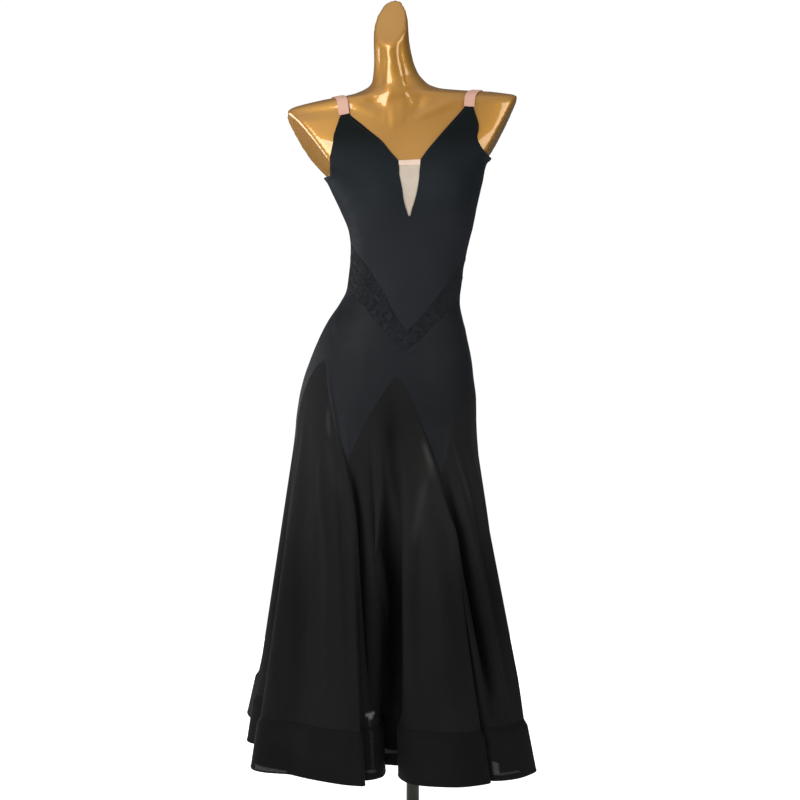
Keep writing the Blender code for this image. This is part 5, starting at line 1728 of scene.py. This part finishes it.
# The cut of each sheet of cloth, all round the body: its width and length in metres, measured
# along the cloth, and its area in square metres where it isn't a rectangle
Cut = namedtuple("Cut", "piece width length area held rests_on on_it")
CUTS = [
    Cut(front_bodice, 0.42, 0.49, 0.096, "stretched", [form], edge_rows[:2]),
    Cut(back_bodice, 0.40, 0.23, 0.043, "stretched", [form], edge_rows[2:]),
    Cut(inset, 0.050, 0.100, 0.0033, "stretched", [form], []),
    Cut(binding, 0.042, 0.011, None, "stretched", [form], []),
    Cut(strap_right, 0.019, 0.321, None, "stretched", [form], []),
    Cut(strap_left, 0.019, 0.294, None, "stretched", [form], []),
    Cut(lace_front, 0.32, 0.21, 0.0246, "stretched", [form], []),
    Cut(lace_back, 0.30, 0.142, 0.0273, "stretched", [form], []),
    Cut(yoke_front, 0.52, 0.35, 0.0753, "stretched", [form], []),
    Cut(yoke_back, 0.54, 0.33, 0.0841, "stretched", [form], []),
]
GODET_CUTS = rows(
    "width length area",
    (0.321, 0.674, 0.145), (0.453, 0.648, 0.200), (0.322, 0.630, 0.148),
    (0.318, 0.639, 0.149), (0.379, 0.650, 0.178), (0.420, 0.654, 0.175),
)
BAND_CUTS = rows(
    "hem top deep",
    (0.366, 0.321, 0.096), (0.450, 0.387, 0.095), (0.352, 0.309, 0.098),
    (0.355, 0.311, 0.095), (0.412, 0.374, 0.098), (0.484, 0.420, 0.095),
)
for piece, size in zip(godets, GODET_CUTS):
    CUTS.append(Cut(piece, *size, "hung", [yoke_front, yoke_back], []))
for piece, godet, size in zip(bands, godets, BAND_CUTS):
    area = (size.hem + size.top) / 2 * size.deep
    CUTS.append(Cut(piece, size.hem, size.deep, area, "hung", [godet], []))
for cut in CUTS:
    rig.sheet(
        cut.piece,
        flat=(cut.width, cut.length),
        held=cut.held,
        rests_on=cut.rests_on,
        area=cut.area,
        with_pieces=cut.on_it,
    )


# ---------------------------------------------------------------- floor, camera and light

FLOOR_RADIUS = 1.6
CAMERA_PLACE = (-0.025, -3.40, 1.315)
CAMERA_DOWN = 7.3738  # degrees that it looks down
CAMERA_LENS = 81.2
SENSOR_WIDTH = 36
SEEN_WHITE = 1.02  # the room as the camera sees it
FLOOR_GLOW = 0.60
OVERHEAD_POWER = 0.5
OVERHEAD_WIDTH = 50  # degrees

floor_finish = Shader(
    "pale_floor", (0.86, 0.86, 0.86), 0.7, Specular_IOR_Level=0.2,
    Emission_Color=(1, 1, 1, 1), Emission_Strength=FLOOR_GLOW,
)
floor_turns = [math.radians(degrees) for degrees in range(0, 360, 6)]
floor_points = [
    (FLOOR_RADIUS * math.cos(turn), FLOOR_RADIUS * math.sin(turn), 0.0) for turn in floor_turns
]
floor_face = tuple(range(len(floor_points)))
floor = mesh_object("studio_floor", floor_points, [floor_face], floor_finish.made)
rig.stage(floor)

camera = placed("camera", bpy.data.cameras.new("camera"))
camera.location = CAMERA_PLACE
camera.rotation_euler = (math.radians(90 - CAMERA_DOWN), 0, 0)
camera.data.lens = CAMERA_LENS
camera.data.sensor_width = SENSOR_WIDTH
bpy.context.scene.camera = camera

# How strong the light of the room is: from below to above, from its left to its right, and from
# front to back
ROOM_LIGHT = (
    ("Z", -0.4, 1.0, 0.16, 0.90),
    ("X", -1.0, 1.0, 1.30, 0.50),
    ("Y", -0.1, 0.6, 1.0, 0.30),
)
world = bpy.data.worlds.new("studio")
bpy.context.scene.world = world
world.use_nodes = True
room = Nodes(world.node_tree)
seen = room.tree.nodes["Background"]
room.fill(seen.inputs["Color"], (1, 1, 1, 1))
room.fill(seen.inputs["Strength"], SEEN_WHITE)
facing = room.add("ShaderNodeTexCoord").outputs["Generated"]
direction = room.add("ShaderNodeSeparateXYZ", {0: facing}).outputs
up, across, back = (room.span(direction[axis], *ends) for axis, *ends in ROOM_LIGHT)
strength = room.maths("MULTIPLY", room.maths("MULTIPLY", up, across), back)
lighting = room.add("ShaderNodeBackground", {"Strength": strength}).outputs[0]
for_camera = room.add("ShaderNodeLightPath").outputs["Is Camera Ray"]
choice = room.add("ShaderNodeMixShader", {0: for_camera, 1: lighting, 2: seen.outputs[0]})
room.fill(room.tree.nodes["World Output"].inputs["Surface"], choice.outputs[0])


def aim(thing, target):
    way = Vector(target) - thing.location
    thing.rotation_euler = way.to_track_quat("-Z", "Y").to_euler()


for box in rows(
    "name place target width height power glossy",
    ("softbox_right_front", (-1.80, -2.05, 1.85), (-0.04, 0, 1.48), 1.45, 2.3, 47, True),
    ("softbox_left_front", (2.16, -1.38, 1.85), (-0.04, 0, 1.48), 1.30, 2.0, 22, True),
    ("softbox_right_behind", (-2.15, 1.00, 0.88), (-0.04, 0, 0.88), 1.50, 0.9, 16, True),
    ("softbox_back", (0.90, 2.70, 1.90), (0, 0, 0.90), 1.80, 2.0, 75, False),
):
    light = bpy.data.lights.new(box.name, "AREA")
    light.shape = "RECTANGLE"
    light.size, light.size_y = box.width, box.height
    light.energy = box.power
    lamp = placed(box.name, light)
    lamp.location = box.place
    aim(lamp, box.target)
    lamp.visible_camera = False
    lamp.visible_glossy = box.glossy
sun = bpy.data.lights.new("overhead", "SUN")
sun.energy = OVERHEAD_POWER
sun.angle = math.radians(OVERHEAD_WIDTH)
overhead = placed("overhead", sun)
overhead.location = (-0.8, -1.4, 3.0)
aim(overhead, (0, 0, 0.8))
overhead.visible_glossy = False

bpy.context.scene.view_settings.view_transform = "Standard"
bpy.context.scene.view_settings.look = "None"

with open("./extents.json", "w") as out:
    json.dump({"cad": [list(v) for v in CAD_BOX], "visual": [list(v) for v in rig.bounds()]}, out)
